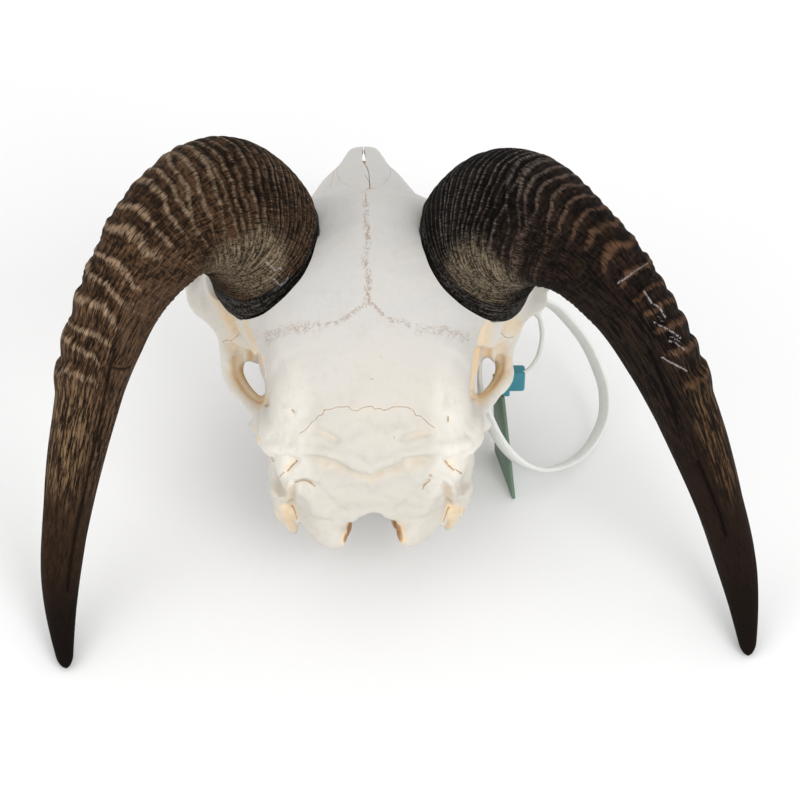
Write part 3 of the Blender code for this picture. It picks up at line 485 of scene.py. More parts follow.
# Stains with painted light: ochre and brown in the hollows, the valleys and under the crest, partly real
# staining and partly painted warm bounce light and shade. Width in mm, strength, then the line.
STAINS_AND_PAINTED_LIGHT = (
    (4.6, 0.75, ((217, 300), (223, 310), (229, 319), (234, 328))),
    (2.0, 0.8, ((237, 322), (240, 330))),
    (1.5, 0.9, ((242, 316), (246, 322))),
    (2.2, 0.35, ((248, 338), (250, 350), (250, 358))),
    (4.2, 0.5, ((234, 338), (236, 348))),
    (4.2, 0.62, ((237, 360), (236, 370), (241, 382), (248, 392), (258, 400), (268, 403))),
    (2.2, 0.9, ((246, 324), (251, 336), (256, 348), (260, 362))),
    (2.4, 0.55, ((247, 330), (249, 345), (251, 358))),
    (1.2, 1.0, ((263, 358), (266, 375), (268, 392), (270, 406))),
    (4.0, 0.75, ((505, 325), (510, 323), (514, 328))),
    (3.4, 0.5, ((501, 342), (500, 352))),
    (4.2, 0.62, ((504, 358), (503, 368), (498, 379), (490, 388), (480, 395), (472, 400))),
    (3.0, 0.9, ((487, 326), (482, 338), (479, 350), (476, 366), (473, 384))),
    (3.0, 0.55, ((493, 328), (489, 342), (486, 354))),
    (3.0, 0.85, ((286.5, 508), (290, 518), (295, 530))),
    (1.1, 1.6, ((292, 506), (295, 512), (297, 519))),
    (1.3, 1.0, ((276, 513), (279, 520))),
    (3.0, 0.85, ((452.5, 508), (450.5, 517), (447, 527))),
    (1.2, 1.6, ((448.5, 508), (446, 514), (443.5, 521))),
    (1.2, 1.2, ((464, 508), (462.5, 514))),
    (2.8, 1.85, ((350.5, 526), (348.5, 532), (346.5, 538))),
    (2.8, 1.85, ((395, 524), (397.5, 530), (399, 537))),
    (1.3, 0.9, ((256, 432), (259, 440))),
    (1.2, 0.22, ((320, 432), (325, 434), (333, 438))),
    (1.2, 0.2, ((408, 438), (414, 436), (426, 433))),
    (2.6, 0.3, ((289, 488), (290, 500))),
    (2.6, 0.3, ((449, 488), (449, 500))),
    (3.0, 0.22, ((321, 461), (334, 466), (344, 471))),
    (3.0, 0.22, ((421, 461), (410, 465), (398, 471))),
    (2.4, 0.3, ((358, 474), (371, 479), (384, 474))),
    (2.0, 0.4, ((294, 463), (288, 469))),
    (2.0, 0.4, ((447, 462), (453, 468))),
    (6.0, 0.16, ((300, 530), (325, 545))),
    (6.0, 0.16, ((440, 528), (415, 545))),
)
# Fine dark lines: darkness, half width in mm, then the line.
CRACKS = (
    (0.75, 0.20, ((300, 433), (304, 431), (308, 427), (311, 423), (316, 419), (318, 416), (323, 414.5),
                  (324, 410), (331, 409), (338, 407), (343, 407), (349, 406.5), (351, 410), (358, 411),
                  (362, 407.5), (366, 407), (372, 406), (375, 409.5), (380, 408), (384, 411), (389, 409),
                  (393, 407), (400, 406.5), (407, 407), (413, 410), (416, 415.5), (421, 416),
                  (424, 419.5), (428, 423), (432, 426), (435, 428))),
    (1.0, 0.58, ((297.3, 461), (296, 462.5))),
    (1.0, 0.38, ((296, 462.5), (291, 467), (287.5, 471))),
    (0.9, 0.30, ((284, 472.5), (281, 475.5), (278, 478))),
    (1.0, 0.55, ((445, 461), (446.5, 462.5))),
    (1.0, 0.36, ((446.5, 462.5), (448, 465), (453.5, 470))),
    (0.9, 0.36, ((456.3, 470), (459, 472), (461.7, 474))),
    (0.75, 0.45, ((295.5, 482), (300, 480.5), (306, 480.5), (311, 483), (315, 486))),
    (0.8, 0.42, ((422, 488.5), (425.5, 483.5), (430, 480.4))),
    (0.7, 0.22, ((223, 342), (226, 340), (231, 341), (236, 337), (239, 334))),
    (0.8, 0.24, ((501, 333), (505, 337), (509, 338), (513, 337))),
    (0.7, 0.22, ((372, 189), (370, 184), (368, 179.5), (365, 175))),
    (0.8, 0.30, ((362, 191), (366, 189), (371, 188), (376, 189))),
    (0.8, 0.26, ((366, 189), (366, 196), (366, 203))),
    (0.5, 0.24, ((334, 171), (333, 178), (330, 187), (324, 193))),
    (0.35, 0.22, ((392, 169), (396, 173), (399, 179))),
    (0.8, 0.30, ((269, 392), (270, 400))),
    (0.95, 0.42, ((292, 410), (294, 412))),
    (1.0, 0.36, ((448, 417), (448, 421))),
    (0.9, 0.85, ((430.3, 474.8), (431.5, 475.2))),
    (0.5, 0.40, ((271, 458), (274, 458))),
    (0.5, 0.40, ((272, 461), (275, 461))),
    (0.5, 0.30, ((394, 437), (395, 438))),
    (0.55, 0.26, ((371, 379), (373, 379))),
    (0.45, 0.26, ((381, 357), (382, 357))),
    (0.6, 0.40, ((363, 152), (364, 154))),
)
# The wide, worm-eaten sutures of the roof: strength, half width of the band in mm, then the line.
SEAMS = (
    (1.0, 1.5, ((366, 200), (366, 215), (367, 230), (368, 243), (366, 252), (365, 262), (368, 272),
                (369, 282), (367, 291), (368, 301))),
    (0.9, 1.1, ((367, 301), (358, 309), (350, 314.5), (343, 319), (335, 323), (326, 324))),
    (0.6, 2.8, ((318, 325), (308, 327), (294, 328), (280, 332), (266, 338))),
    (0.9, 1.1, ((367, 301), (374, 306), (382, 314), (391, 320), (402, 321), (412, 326))),
    (0.6, 2.8, ((418, 328), (428, 330), (442, 331), (456, 334), (468, 338))),
)


def to_model(points):
    """Points of the skull's own frame, in mm, as points of the model, in metres."""
    return (np.asarray(points, float) - (*ORIGIN, 0.0)) * MM


def mirrored(point, side):
    return (side * point[0], point[1], point[2])


def smooth_step(values, start, end):
    t = np.clip((values - start) / (end - start), 0.0, 1.0)
    return t * t * (3 - 2 * t)


def lean(y):
    """How far the face has leant over at one place along the skull."""
    return -FACE_LEAN * smooth_step(np.asarray(y, float), FACE_LEAN_FROM, FACE_LEAN_TO)


def sight_axes():
    """The photograph's camera: its right, up and back directions, and its place in the skull's frame."""
    turn, height, roll = (math.radians(a) for a in (SIGHT_TURN, SIGHT_HEIGHT, SIGHT_ROLL))
    back = Vector((math.sin(turn) * math.cos(height), -math.cos(turn) * math.cos(height), math.sin(height)))
    right = Vector((math.cos(turn), math.sin(turn), 0.0))
    up = back.cross(right)
    tilted = math.cos(roll) * right + math.sin(roll) * up
    upright = -math.sin(roll) * right + math.cos(roll) * up
    return tilted, upright, back, Vector(SIGHT_TARGET) + SIGHT_DISTANCE * back


def sight_ray(px, py):
    """The direction from the photograph's camera through one of its pixels."""
    right, up, back, _ = sight_axes()
    return (px - IMAGE_SIZE / 2) / SIGHT_FOCAL * right - (py - IMAGE_SIZE / 2) / SIGHT_FOCAL * up - back


# ---------------------------------------------------------------- meshes


def select_only(*things):
    bpy.ops.object.select_all(action="DESELECT")
    for thing in things:
        thing.select_set(True)
    bpy.context.view_layer.objects.active = things[0]


def new_object(name, points, faces):
    """A mesh object from points in the skull's own frame."""
    mesh = bpy.data.meshes.new(name)
    mesh.from_pydata([tuple(p) for p in to_model(points)], [], faces)
    thing = bpy.data.objects.new(name, mesh)
    bpy.context.scene.collection.objects.link(thing)
    select_only(thing)
    bpy.ops.object.mode_set(mode="EDIT")
    bpy.ops.mesh.select_all(action="SELECT")
    bpy.ops.mesh.normals_make_consistent(inside=False)
    bpy.ops.object.mode_set(mode="OBJECT")
    return thing


def ring_faces(rows, sides):
    """The faces between rings of equally many points, ring after ring."""
    return [(i * sides + k, i * sides + (k + 1) % sides,
             (i + 1) * sides + (k + 1) % sides, (i + 1) * sides + k)
            for i in range(rows - 1) for k in range(sides)]


def loft(rings, name="loft"):
    """A closed loft through rings of equally many points."""
    rings = np.array([[tuple(p) for p in ring] for ring in rings])
    rows, sides = rings.shape[:2]
    faces = ring_faces(rows, sides)
    faces.append(tuple(range(sides - 1, -1, -1)))
    faces.append(tuple(range((rows - 1) * sides, rows * sides)))
    return new_object(name, rings.reshape(-1, 3), faces)


def ball(centre, radii, turn=0.0, segments=32):
    """An ellipsoid, turned about the vertical by some degrees."""
    bpy.ops.mesh.primitive_uv_sphere_add(
        segments=segments, ring_count=segments // 2, radius=MM, location=to_model(centre), scale=radii,
        rotation=(0.0, 0.0, math.radians(turn)))
    return bpy.context.object


def cone(start, end, start_radius, end_radius, segments=64):
    start = Vector(start)
    end = Vector(end)
    heading = (end - start).normalized().to_track_quat("Z", "Y")
    bpy.ops.mesh.primitive_cone_add(
        vertices=segments, radius1=start_radius * MM, radius2=end_radius * MM,
        depth=(end - start).length * MM, location=to_model((start + end) / 2), rotation=heading.to_euler())
    return bpy.context.object


def block(centre, size, turn=0.0):
    """A box, turned about the vertical by some radians."""
    bpy.ops.mesh.primitive_cube_add(size=MM, location=to_model(centre), scale=size,
                                    rotation=(0.0, 0.0, turn))
    return bpy.context.object


def between(first, last, first_slope, last_slope, width, t):
    """The cubic between two rows of numbers that has their slopes at its ends. t runs from 0 to 1."""
    return ((1 + 2 * t) * (1 - t) ** 2 * first + t * (1 - t) ** 2 * width * first_slope
            + t * t * (3 - 2 * t) * last + t * t * (t - 1) * width * last_slope)


def smooth_route(points, count):
    """Evenly spaced points on a smooth curve through the given ones."""
    points = np.array(points, float)
    steps = np.linalg.norm(np.diff(points[:, :3], axis=0), axis=1)
    knots = np.concatenate(([0.0], np.cumsum(steps)))
    slopes = np.gradient(points, knots, axis=0, edge_order=2)
    at = np.linspace(0.0, knots[-1], 12 * count)
    span = np.clip(np.searchsorted(knots, at, side="right") - 1, 0, len(steps) - 1)
    width = steps[span][:, None]
    t = (at - knots[span])[:, None] / width
    fine = between(points[span], points[span + 1], slopes[span], slopes[span + 1], width, t)
    run = np.concatenate(([0.0], np.cumsum(np.linalg.norm(np.diff(fine[:, :3], axis=0), axis=1))))
    even = np.linspace(0.0, run[-1], count)
    return np.stack([np.interp(even, run, fine[:, k]) for k in range(points.shape[1])], axis=1)


def bar(points, radii, sides=16):
    """A round bar along a smooth route, its radius changing from point to point."""
    route = smooth_route([(*p, r) for p, r in zip(points, radii)], 8 * len(points))
    rings = []
    for point, radius, ahead in zip(route[:, :3], route[:, 3], np.gradient(route[:, :3], axis=0)):
        turned = Vector(ahead).normalized().to_track_quat("Z", "Y").to_matrix()
        ring = []
        for k in range(sides):
            turn = 2 * math.pi * k / sides
            offset = turned @ Vector((math.cos(turn), math.sin(turn), 0.0))
            ring.append(Vector(point) + float(radius) * offset)
        rings.append(ring)
    return loft(rings)


def section_loft(sections, count, sides=96):
    """A loft through superellipse cross-sections that change smoothly from one station to the next."""
    table = np.array(sections)
    knots = table[:, 0]
    slopes = np.gradient(table, knots, axis=0)
    turn = np.linspace(0.0, 2 * math.pi, sides, endpoint=False)
    rings = []
    for y in np.linspace(knots[0], knots[-1], count):
        i = min(max(int(np.searchsorted(knots, y, side="right")) - 1, 0), len(knots) - 2)
        width = knots[i + 1] - knots[i]
        t = (y - knots[i]) / width
        row = between(table[i], table[i + 1], slopes[i], slopes[i + 1], width, t)
        half, widest, top, bottom, above, below = row[1:]
        upper = np.sin(turn) >= 0
        power = 2.0 / np.where(upper, above, below)
        reach = np.where(upper, top - widest, widest - bottom)
        x = half * np.sign(np.cos(turn)) * np.abs(np.cos(turn)) ** power
        z = widest + reach * np.sign(np.sin(turn)) * np.abs(np.sin(turn)) ** power
        rings.append(np.stack([x, np.full(sides, y), z], axis=1))
    return loft(rings)


def settled(thing):
    """An object with its place, turn and size put into its mesh."""
    select_only(thing)
    bpy.ops.object.transform_apply(location=True, rotation=True, scale=True)
    return thing


def joined(pieces, name):
    select_only(*pieces)
    bpy.ops.object.join()
    whole = bpy.context.object
    whole.name = whole.data.name = name
    return settled(whole)


def apply_modifier(thing, kind, **settings):
    select_only(thing)
    modifier = thing.modifiers.new(kind.lower(), kind)
    for key, value in settings.items():
        setattr(modifier, key, value)
    bpy.ops.object.modifier_apply(modifier=modifier.name)


def carve(thing, cutter, operation="DIFFERENCE", keep_cutter=False):
    apply_modifier(thing, "BOOLEAN", object=cutter, operation=operation, solver="MANIFOLD")
    if not keep_cutter:
        bpy.data.objects.remove(cutter)


def fuse(thing):
    """Makes one closed skin of all the closed pieces in a mesh."""
    apply_modifier(thing, "REMESH", mode="VOXEL", voxel_size=GRAIN * MM)


def thin(thing, most):
    """Brings a mesh down to a number of triangles where it faces away from the photograph's camera."""
    thing.data.calc_loop_triangles()
    count = len(thing.data.loop_triangles)
    if count <= most:
        return
    _, normals = points_of(thing.data)
    _, _, back, _ = sight_axes()
    hidden = thing.vertex_groups.new(name="hidden")
    hidden.add(np.flatnonzero(normals @ np.array(back) < 0.0).tolist(), 1.0, "REPLACE")
    apply_modifier(thing, "DECIMATE", ratio=most / count, vertex_group=hidden.name)
    thing.vertex_groups.clear()


def copy_of(thing, name):
    twin = bpy.data.objects.new(name, thing.data.copy())
    bpy.context.scene.collection.objects.link(twin)
    return twin


def points_of(mesh):
    """A mesh's points in the skull's own frame, and their normals."""
    co = np.empty(len(mesh.vertices) * 3)
    mesh.vertices.foreach_get("co", co)
    normal = np.empty(len(mesh.vertices) * 3)
    mesh.vertices.foreach_get("normal", normal)
    return co.reshape(-1, 3) / MM + (*ORIGIN, 0.0), normal.reshape(-1, 3)


def set_points(mesh, points):
    mesh.vertices.foreach_set("co", to_model(points).ravel())
    mesh.update()


def write_attribute(thing, name, values):
    """Stores a number or three for each point of a mesh, which its material reads."""
    values = np.asarray(values, float)
    kind, field = ("FLOAT", "value") if values.ndim == 1 else ("FLOAT_VECTOR", "vector")
    attribute = thing.data.attributes.new(name, kind, "POINT")
    attribute.data.foreach_set(field, values.reshape(-1))


# ---------------------------------------------------------------- the skull before it is parted


def orbit_axis_point(distance, side):
    return mirrored(Vector(ORBIT_CENTRE) + distance * Vector(ORBIT_AXIS).normalized(), side)


def sight_prism(pixels, near, far):
    """A closed body along the photograph's lines of sight, between two depths."""
    _, _, _, eye = sight_axes()
    body = loft([[eye + (SIGHT_DISTANCE - depth) * sight_ray(px, py) for px, py in pixels]
                 for depth in (near, far)])
    apply_modifier(body, "TRIANGULATE")
    return body


def orbit_cone(start, end, start_radius, end_radius, side):
    """A cone along the orbit's axis."""
    return cone(orbit_axis_point(start, side), orbit_axis_point(end, side), start_radius, end_radius)


def side_of_skull(side):
    """The processes, arches and bosses of one side."""
    axis = Vector(mirrored(HORN_AXIS, side)).normalized()
    seat = Vector(mirrored(HORN_SEAT, side))
    pieces = [
        orbit_cone(*ORBIT_CUP, side),
        bar([mirrored(point, side) for point in ORBIT_RIM], [ORBIT_RIM_RADIUS] * len(ORBIT_RIM)),
        cone(seat - 22 * axis, seat + 2 * axis, HORN_BASE_RADIUS + 3, HORN_BASE_RADIUS - 4),
    ]
    for points, radii in SIDE_BARS:
        pieces.append(bar([mirrored(point, side) for point in points], radii))
    for centre, half_sizes, turn, segments in SIDE_SWELLINGS:
        pieces.append(ball(mirrored(centre, side), half_sizes, side * turn, segments))
    return pieces


def fused_bone():
    """All the bones of the skull as one closed skin, before anything is hollowed out."""
    pieces = [section_loft(BODY_SECTIONS, 120), section_loft(ROOF_SECTIONS, 60),
              section_loft(SNOUT_SECTIONS, 40), ball(*SKULL_BASE)]
    for side in (-1, 1):
        pieces += side_of_skull(side)
    skull = joined(pieces, "skull")
    fuse(skull)
    for side in (-1, 1):
        for depth, outline in FOSSA[side]:
            carve(skull, sight_prism(outline, FOSSA_NEAR, depth))
        carve(skull, sight_prism(HOLE[side], *HOLE_DEPTHS))
        carve(skull, sight_prism(OUTSIDE[side], *OUTSIDE_DEPTHS))
    for outline in BEHIND:
        carve(skull, sight_prism(outline, *BEHIND_DEPTHS))
    return skull


def hollow_out(skull):
    """Cuts the orbits, the foramen, the braincase, the nasal cavity and the palate's vault."""
    for side in (-1, 1):
        carve(skull, settled(orbit_cone(*ORBIT_HOLLOW, side)))
        centre, half_sizes = ORBIT_BACK
        carve(skull, settled(ball(mirrored(centre, side), half_sizes)))
    centre = Vector(FORAMEN_CENTRE)
    start, end = (centre + reach * Vector(FORAMEN_HEADING) for reach in FORAMEN_SPAN)
    carve(skull, settled(cone(start, end, *FORAMEN_RADII)))
    carve(skull, loft([[(-half, y, CONDYLE_GAP_BOTTOM), (half, y, CONDYLE_GAP_BOTTOM),
                        (half, y, CONDYLE_GAP_TOP), (-half, y, CONDYLE_GAP_TOP)]
                       for y, half in CONDYLE_GAP]))
    carve(skull, settled(ball(*BRAIN)))
    carve(skull, bar(*NASAL_CAVITY, sides=32))
    carve(skull, bar(*PALATE_VAULT, sides=32))
    carve(skull, prism(NOSE_OPENING, (-FACE_REACH, FACE_REACH)))


def prism(outline_yz, across):
    """An outline seen from the side, run across the skull between two distances."""
    return loft([[(x, y, z) for y, z in outline_yz] for x in across])


def nasal_plate(inner, outer, above, below):
    """A plate that follows the nasal bones' top, between two edges given as functions of the station."""
    table = np.array(NASAL_STATIONS)
    rows = []
    for y in np.linspace(table[0, 0] - 0.3, table[-1, 0] + 0.3, 70):
        z, half, drop, seam, slit = (np.interp(y, table[:, 0], table[:, k]) for k in range(1, 6))
        u = np.linspace(inner(half, seam, slit), outer(half, seam, slit), 12)
        rows.append(np.stack([u + lean(y), np.full(12, y), z - drop * (u / half) ** 2], axis=1))
    return loft([np.concatenate([row + (0, 0, above), row[::-1] - (0, 0, below)]) for row in rows])


def whole_skull():
    skull = fused_bone()
    hollow_out(skull)
    points, _ = points_of(skull.data)
    points[:, 0] += lean(points[:, 1])
    set_points(skull.data, points)
    roof = nasal_plate(lambda half, seam, slit: -half, lambda half, seam, slit: half, 0.0, NASAL_THICKNESS)
    skull = joined([skull, roof], "skull")
    fuse(skull)
    apply_modifier(skull, "SMOOTH", factor=0.5, iterations=4)
    return skull


# ---------------------------------------------------------------- sculpting


def nearest_on_line(points, line):
    """For each point: its distance to a line of straight stretches, the nearest place, and its heading."""
    best = np.full(len(points), np.inf)
    place = np.zeros_like(points)
    heading = np.zeros_like(points)
    for start, end in zip(line, line[1:]):
        step = end - start
        length = np.linalg.norm(step)
        t = np.clip((points - start) @ step / length ** 2, 0.0, 1.0)
        spot = start + t[:, None] * step
        distance = np.linalg.norm(points - spot, axis=1)
        closer = distance < best
        best[closer] = distance[closer]
        place[closer] = spot[closer]
        heading[closer] = step / length
    return best, place, heading


def signed_distance(points, normals, line):
    """Distance to a line on a surface, with a sign for its side, and the way past its ends."""
    distance, place, heading = nearest_on_line(points, line)
    away = points - place
    side = np.einsum("ij,ij->i", np.cross(away, heading), normals)
    over = np.abs(np.einsum("ij,ij->i", away, heading))
    return distance * np.where(side < 0, -1.0, 1.0), over


def look(tree, px, py):
    """Where the photograph's camera sees a pixel on a mesh, in the skull's own frame, and on which face."""
    _, _, _, eye = sight_axes()
    hit, _, face, _ = tree.ray_cast(Vector(to_model(eye)), sight_ray(px, py))
    spot = None if hit is None else np.array(hit) / MM + (*ORIGIN, 0.0)
    return spot, face


def seen_points(tree, pixels):
    """The places that the photograph's camera sees at some pixels."""
    spots = [look(tree, px, py)[0] for px, py in pixels]
    return np.array([spot for spot in spots if spot is not None])


def bone_tree(thing):
    return BVHTree.FromObject(thing, bpy.context.evaluated_depsgraph_get())


class Chisel:
    """Presses and raises lines and spots on one mesh, on the side that faces the photograph's camera."""

    def __init__(self, thing):
        self.mesh = thing.data
        self.tree = bone_tree(thing)
        self.points, self.normals = points_of(self.mesh)
        _, _, back, _ = sight_axes()
        self.facing = np.clip(self.normals @ np.array(back) * 4 + 1.0, 0.0, 1.0)

    def line(self, width, height, pixels):
        spots = seen_points(self.tree, pixels)
        if len(spots) < 2:
            return
        reach = np.ptp(spots, axis=0) / 2 + 4 * width + 4.0
        near = np.flatnonzero(np.all(np.abs(self.points - spots.mean(axis=0)) < reach, axis=1))
        distance, _, _ = nearest_on_line(self.points[near], spots)
        push = height * np.exp(-(distance / width) ** 2) * self.facing[near]
        self.points[near] += self.normals[near] * push[:, None]

    def roughen(self):
        """Grows a faint unevenness, stronger at the back of the skull."""
        behind = 1.0 - smooth_step(self.points[:, 1], 8.0, 34.0)
        behind *= smooth_step(self.points[:, 2], 46.0, 58.0)
        swell = np.array([noise.noise(Vector(p / 9.0)) for p in self.points])
        knots = np.array([noise.noise(Vector(p / 3.6 + 40.0)) for p in self.points])
        push = swell * (0.35 + 0.75 * behind) + knots * (0.08 + 0.42 * behind)
        self.points += self.normals * push[:, None]

    def finish(self):
        set_points(self.mesh, self.points)


def sculpt(skull):
    chisel = Chisel(skull)
    for width, height, pixels in STROKES:
        chisel.line(width, height, pixels)
    chisel.roughen()
    chisel.finish()


# ---------------------------------------------------------------- shader expressions


class Wire:
    """One value socket of a node tree. Sums on it add Math nodes."""

    def __init__(self, paint, socket):
        self.paint = paint
        self.socket = socket

    def math(self, operation, *values, clamp=False):
        return self.paint.node("ShaderNodeMath", {"operation": operation, "use_clamp": clamp},
                               dict(enumerate((self, *values))))

    def __add__(self, other):
        return self.math("ADD", other)

    __radd__ = __add__

    def __sub__(self, other):
        return self.math("SUBTRACT", other)

    def __rsub__(self, other):
        return self.paint.node("ShaderNodeMath", {"operation": "SUBTRACT"}, {0: other, 1: self})

    def __mul__(self, other):
        return self.math("MULTIPLY", other)

    __rmul__ = __mul__

    def __abs__(self):
        return self.math("ABSOLUTE")

    def most(self, other):
        return self.math("MAXIMUM", other)

    def held(self):
        return self.math("ADD", 0.0, clamp=True)

    def step(self, start, end):
        """0 before start, 1 after end and smooth between; the other way round if start is more than end."""
        low, high, first, last = (start, end, 0.0, 1.0) if start < end else (end, start, 1.0, 0.0)
        return self.paint.node("ShaderNodeMapRange", {"interpolation_type": "SMOOTHSTEP"},
                               {"Value": self, "From Min": low, "From Max": high,
                                "To Min": first, "To Max": last})


class Paint:
    """A material whose nodes are added one by one."""

    def __init__(self, name):
        self.material = bpy.data.materials.new(name)
        self.material.use_nodes = True
        self.tree = self.material.node_tree
        self.shader = self.tree.nodes["Principled BSDF"]

    def node(self, kind, settings, values, output=0):
        node = self.tree.nodes.new(kind)
        for key, value in settings.items():
            setattr(node, key, value)
        for key, value in values.items():
            self.feed(node.inputs[key], value)
        return Wire(self, node.outputs[output])

    def feed(self, socket, value):
        if isinstance(value, Wire):
            self.tree.links.new(value.socket, socket)
        elif socket.type == "RGBA":
            socket.default_value = (*value, 1.0)
        else:
            socket.default_value = value

    def place(self):
        return self.node("ShaderNodeTexCoord", {}, {}, "Object")

    def attribute(self, name, output="Fac"):
        return self.node("ShaderNodeAttribute", {"attribute_name": name}, {}, output)

    def parts(self, vector):
        """The three numbers of a vector."""
        first = self.node("ShaderNodeSeparateXYZ", {}, {"Vector": vector}, "X")
        node = first.socket.node
        return first, Wire(self, node.outputs["Y"]), Wire(self, node.outputs["Z"])

    def scaled(self, vector, factors):
        return self.node("ShaderNodeVectorMath", {"operation": "MULTIPLY"}, {0: vector, 1: factors})

    def distance(self, vector, other):
        return self.node("ShaderNodeVectorMath", {"operation": "DISTANCE"}, {0: vector, 1: other}, "Value")

    def noise(self, vector, scale, detail=3.0, rough=0.5, distortion=0.0):
        return self.node("ShaderNodeTexNoise", {"noise_dimensions": "3D"},
                         {"Vector": vector, "Scale": scale, "Detail": detail, "Roughness": rough,
                          "Distortion": distortion})

    def mix(self, amount, first, second):
        return self.node("ShaderNodeMix", {"data_type": "RGBA", "blend_type": "MIX", "clamp_factor": True},
                         {0: amount, 6: first, 7: second}, 2)

    def layers(self, colour, *coats):
        """A colour under some coats, each given as how much of it there is and its own colour."""
        for amount, shade in coats:
            colour = self.mix(amount, colour, shade)
        return colour

    def bump(self, height, distance, strength):
        return self.node("ShaderNodeBump", {},
                         {"Height": height, "Distance": distance, "Strength": strength})

    def finish(self, color, roughness, normal=None):
        self.feed(self.shader.inputs["Base Color"], color)
        self.feed(self.shader.inputs["Roughness"], roughness)
        if normal:
            self.feed(self.shader.inputs["Normal"], normal)
        return self.material


def set_material(thing, material):
    thing.data.materials.clear()
    thing.data.materials.append(material)


def put(thing, nodes, material):
    """A finished piece: smooth, on the skull's body, in place of its CAD nodes."""
    set_material(thing, material)
    thing.data.shade_smooth()
    thing.data.set_sharp_from_angle(angle=CORNER)
    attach(thing, "root")
    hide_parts(*nodes)


# ---------------------------------------------------------------- bone


def trace_marks(thing, tree):
    """Writes the vertex attributes of the cracks, the seams, and the stains with their painted shade and
    warm bounce light, that the photograph shows.
    """
    points, normals = points_of(thing.data)
    _, _, back, _ = sight_axes()
    facing = smooth_step(normals @ np.array(back), -0.45, -0.05)
    cracks = np.full((len(points), 3), FAR_AWAY)
    seams = cracks.copy()
    for table, lines in ((cracks, CRACKS), (seams, SEAMS)):
        for strength, width, pixels in lines:
            line = seen_points(tree, pixels)
            if len(line) < 2:
                continue
            signed, over = signed_distance(points, normals, line)
            closer = np.abs(signed) / width < np.abs(table[:, 0])
            table[closer] = np.stack([signed / width, over, strength * facing], axis=1)[closer]
    stain = np.zeros(len(points))
    for width, strength, pixels in STAINS_AND_PAINTED_LIGHT:
        line = seen_points(tree, pixels)
        if len(line) > 1:
            distance, _, _ = nearest_on_line(points, line)
            stain = np.maximum(stain, strength * np.exp(-(distance / width) ** 4))
    for word, values in (("cracks", cracks), ("seams", seams), ("stain", stain)):
        write_attribute(thing, word, values)


def shelter(thing, tree):
    """Writes a vertex attribute: how much of the open air over each point is shut off by bone. The bone's
    material paints shade and warm bounce light from it.
    """
    points, normals = points_of(thing.data)
    turn = math.pi * (3.0 - math.sqrt(5.0))
    directions = []
    for k in range(SHELTER_RAYS):
        up = math.sqrt(1.0 - (k + 0.5) / SHELTER_RAYS)
        out = math.sqrt(1.0 - up * up)
        directions.append(Vector((out * math.cos(k * turn), out * math.sin(k * turn), up)))
    shut = np.zeros(len(points))
    for i, (start, normal) in enumerate(zip(to_model(points + 0.6 * normals), normals)):
        turned = Vector(normal).to_track_quat("Z", "Y").to_matrix()
        origin = Vector(start)
        hits = sum(tree.ray_cast(origin, turned @ direction, SHELTER_REACH * MM)[0] is not None
                   for direction in directions)
        shut[i] = hits / SHELTER_RAYS
    write_attribute(thing, "shelter", shut)


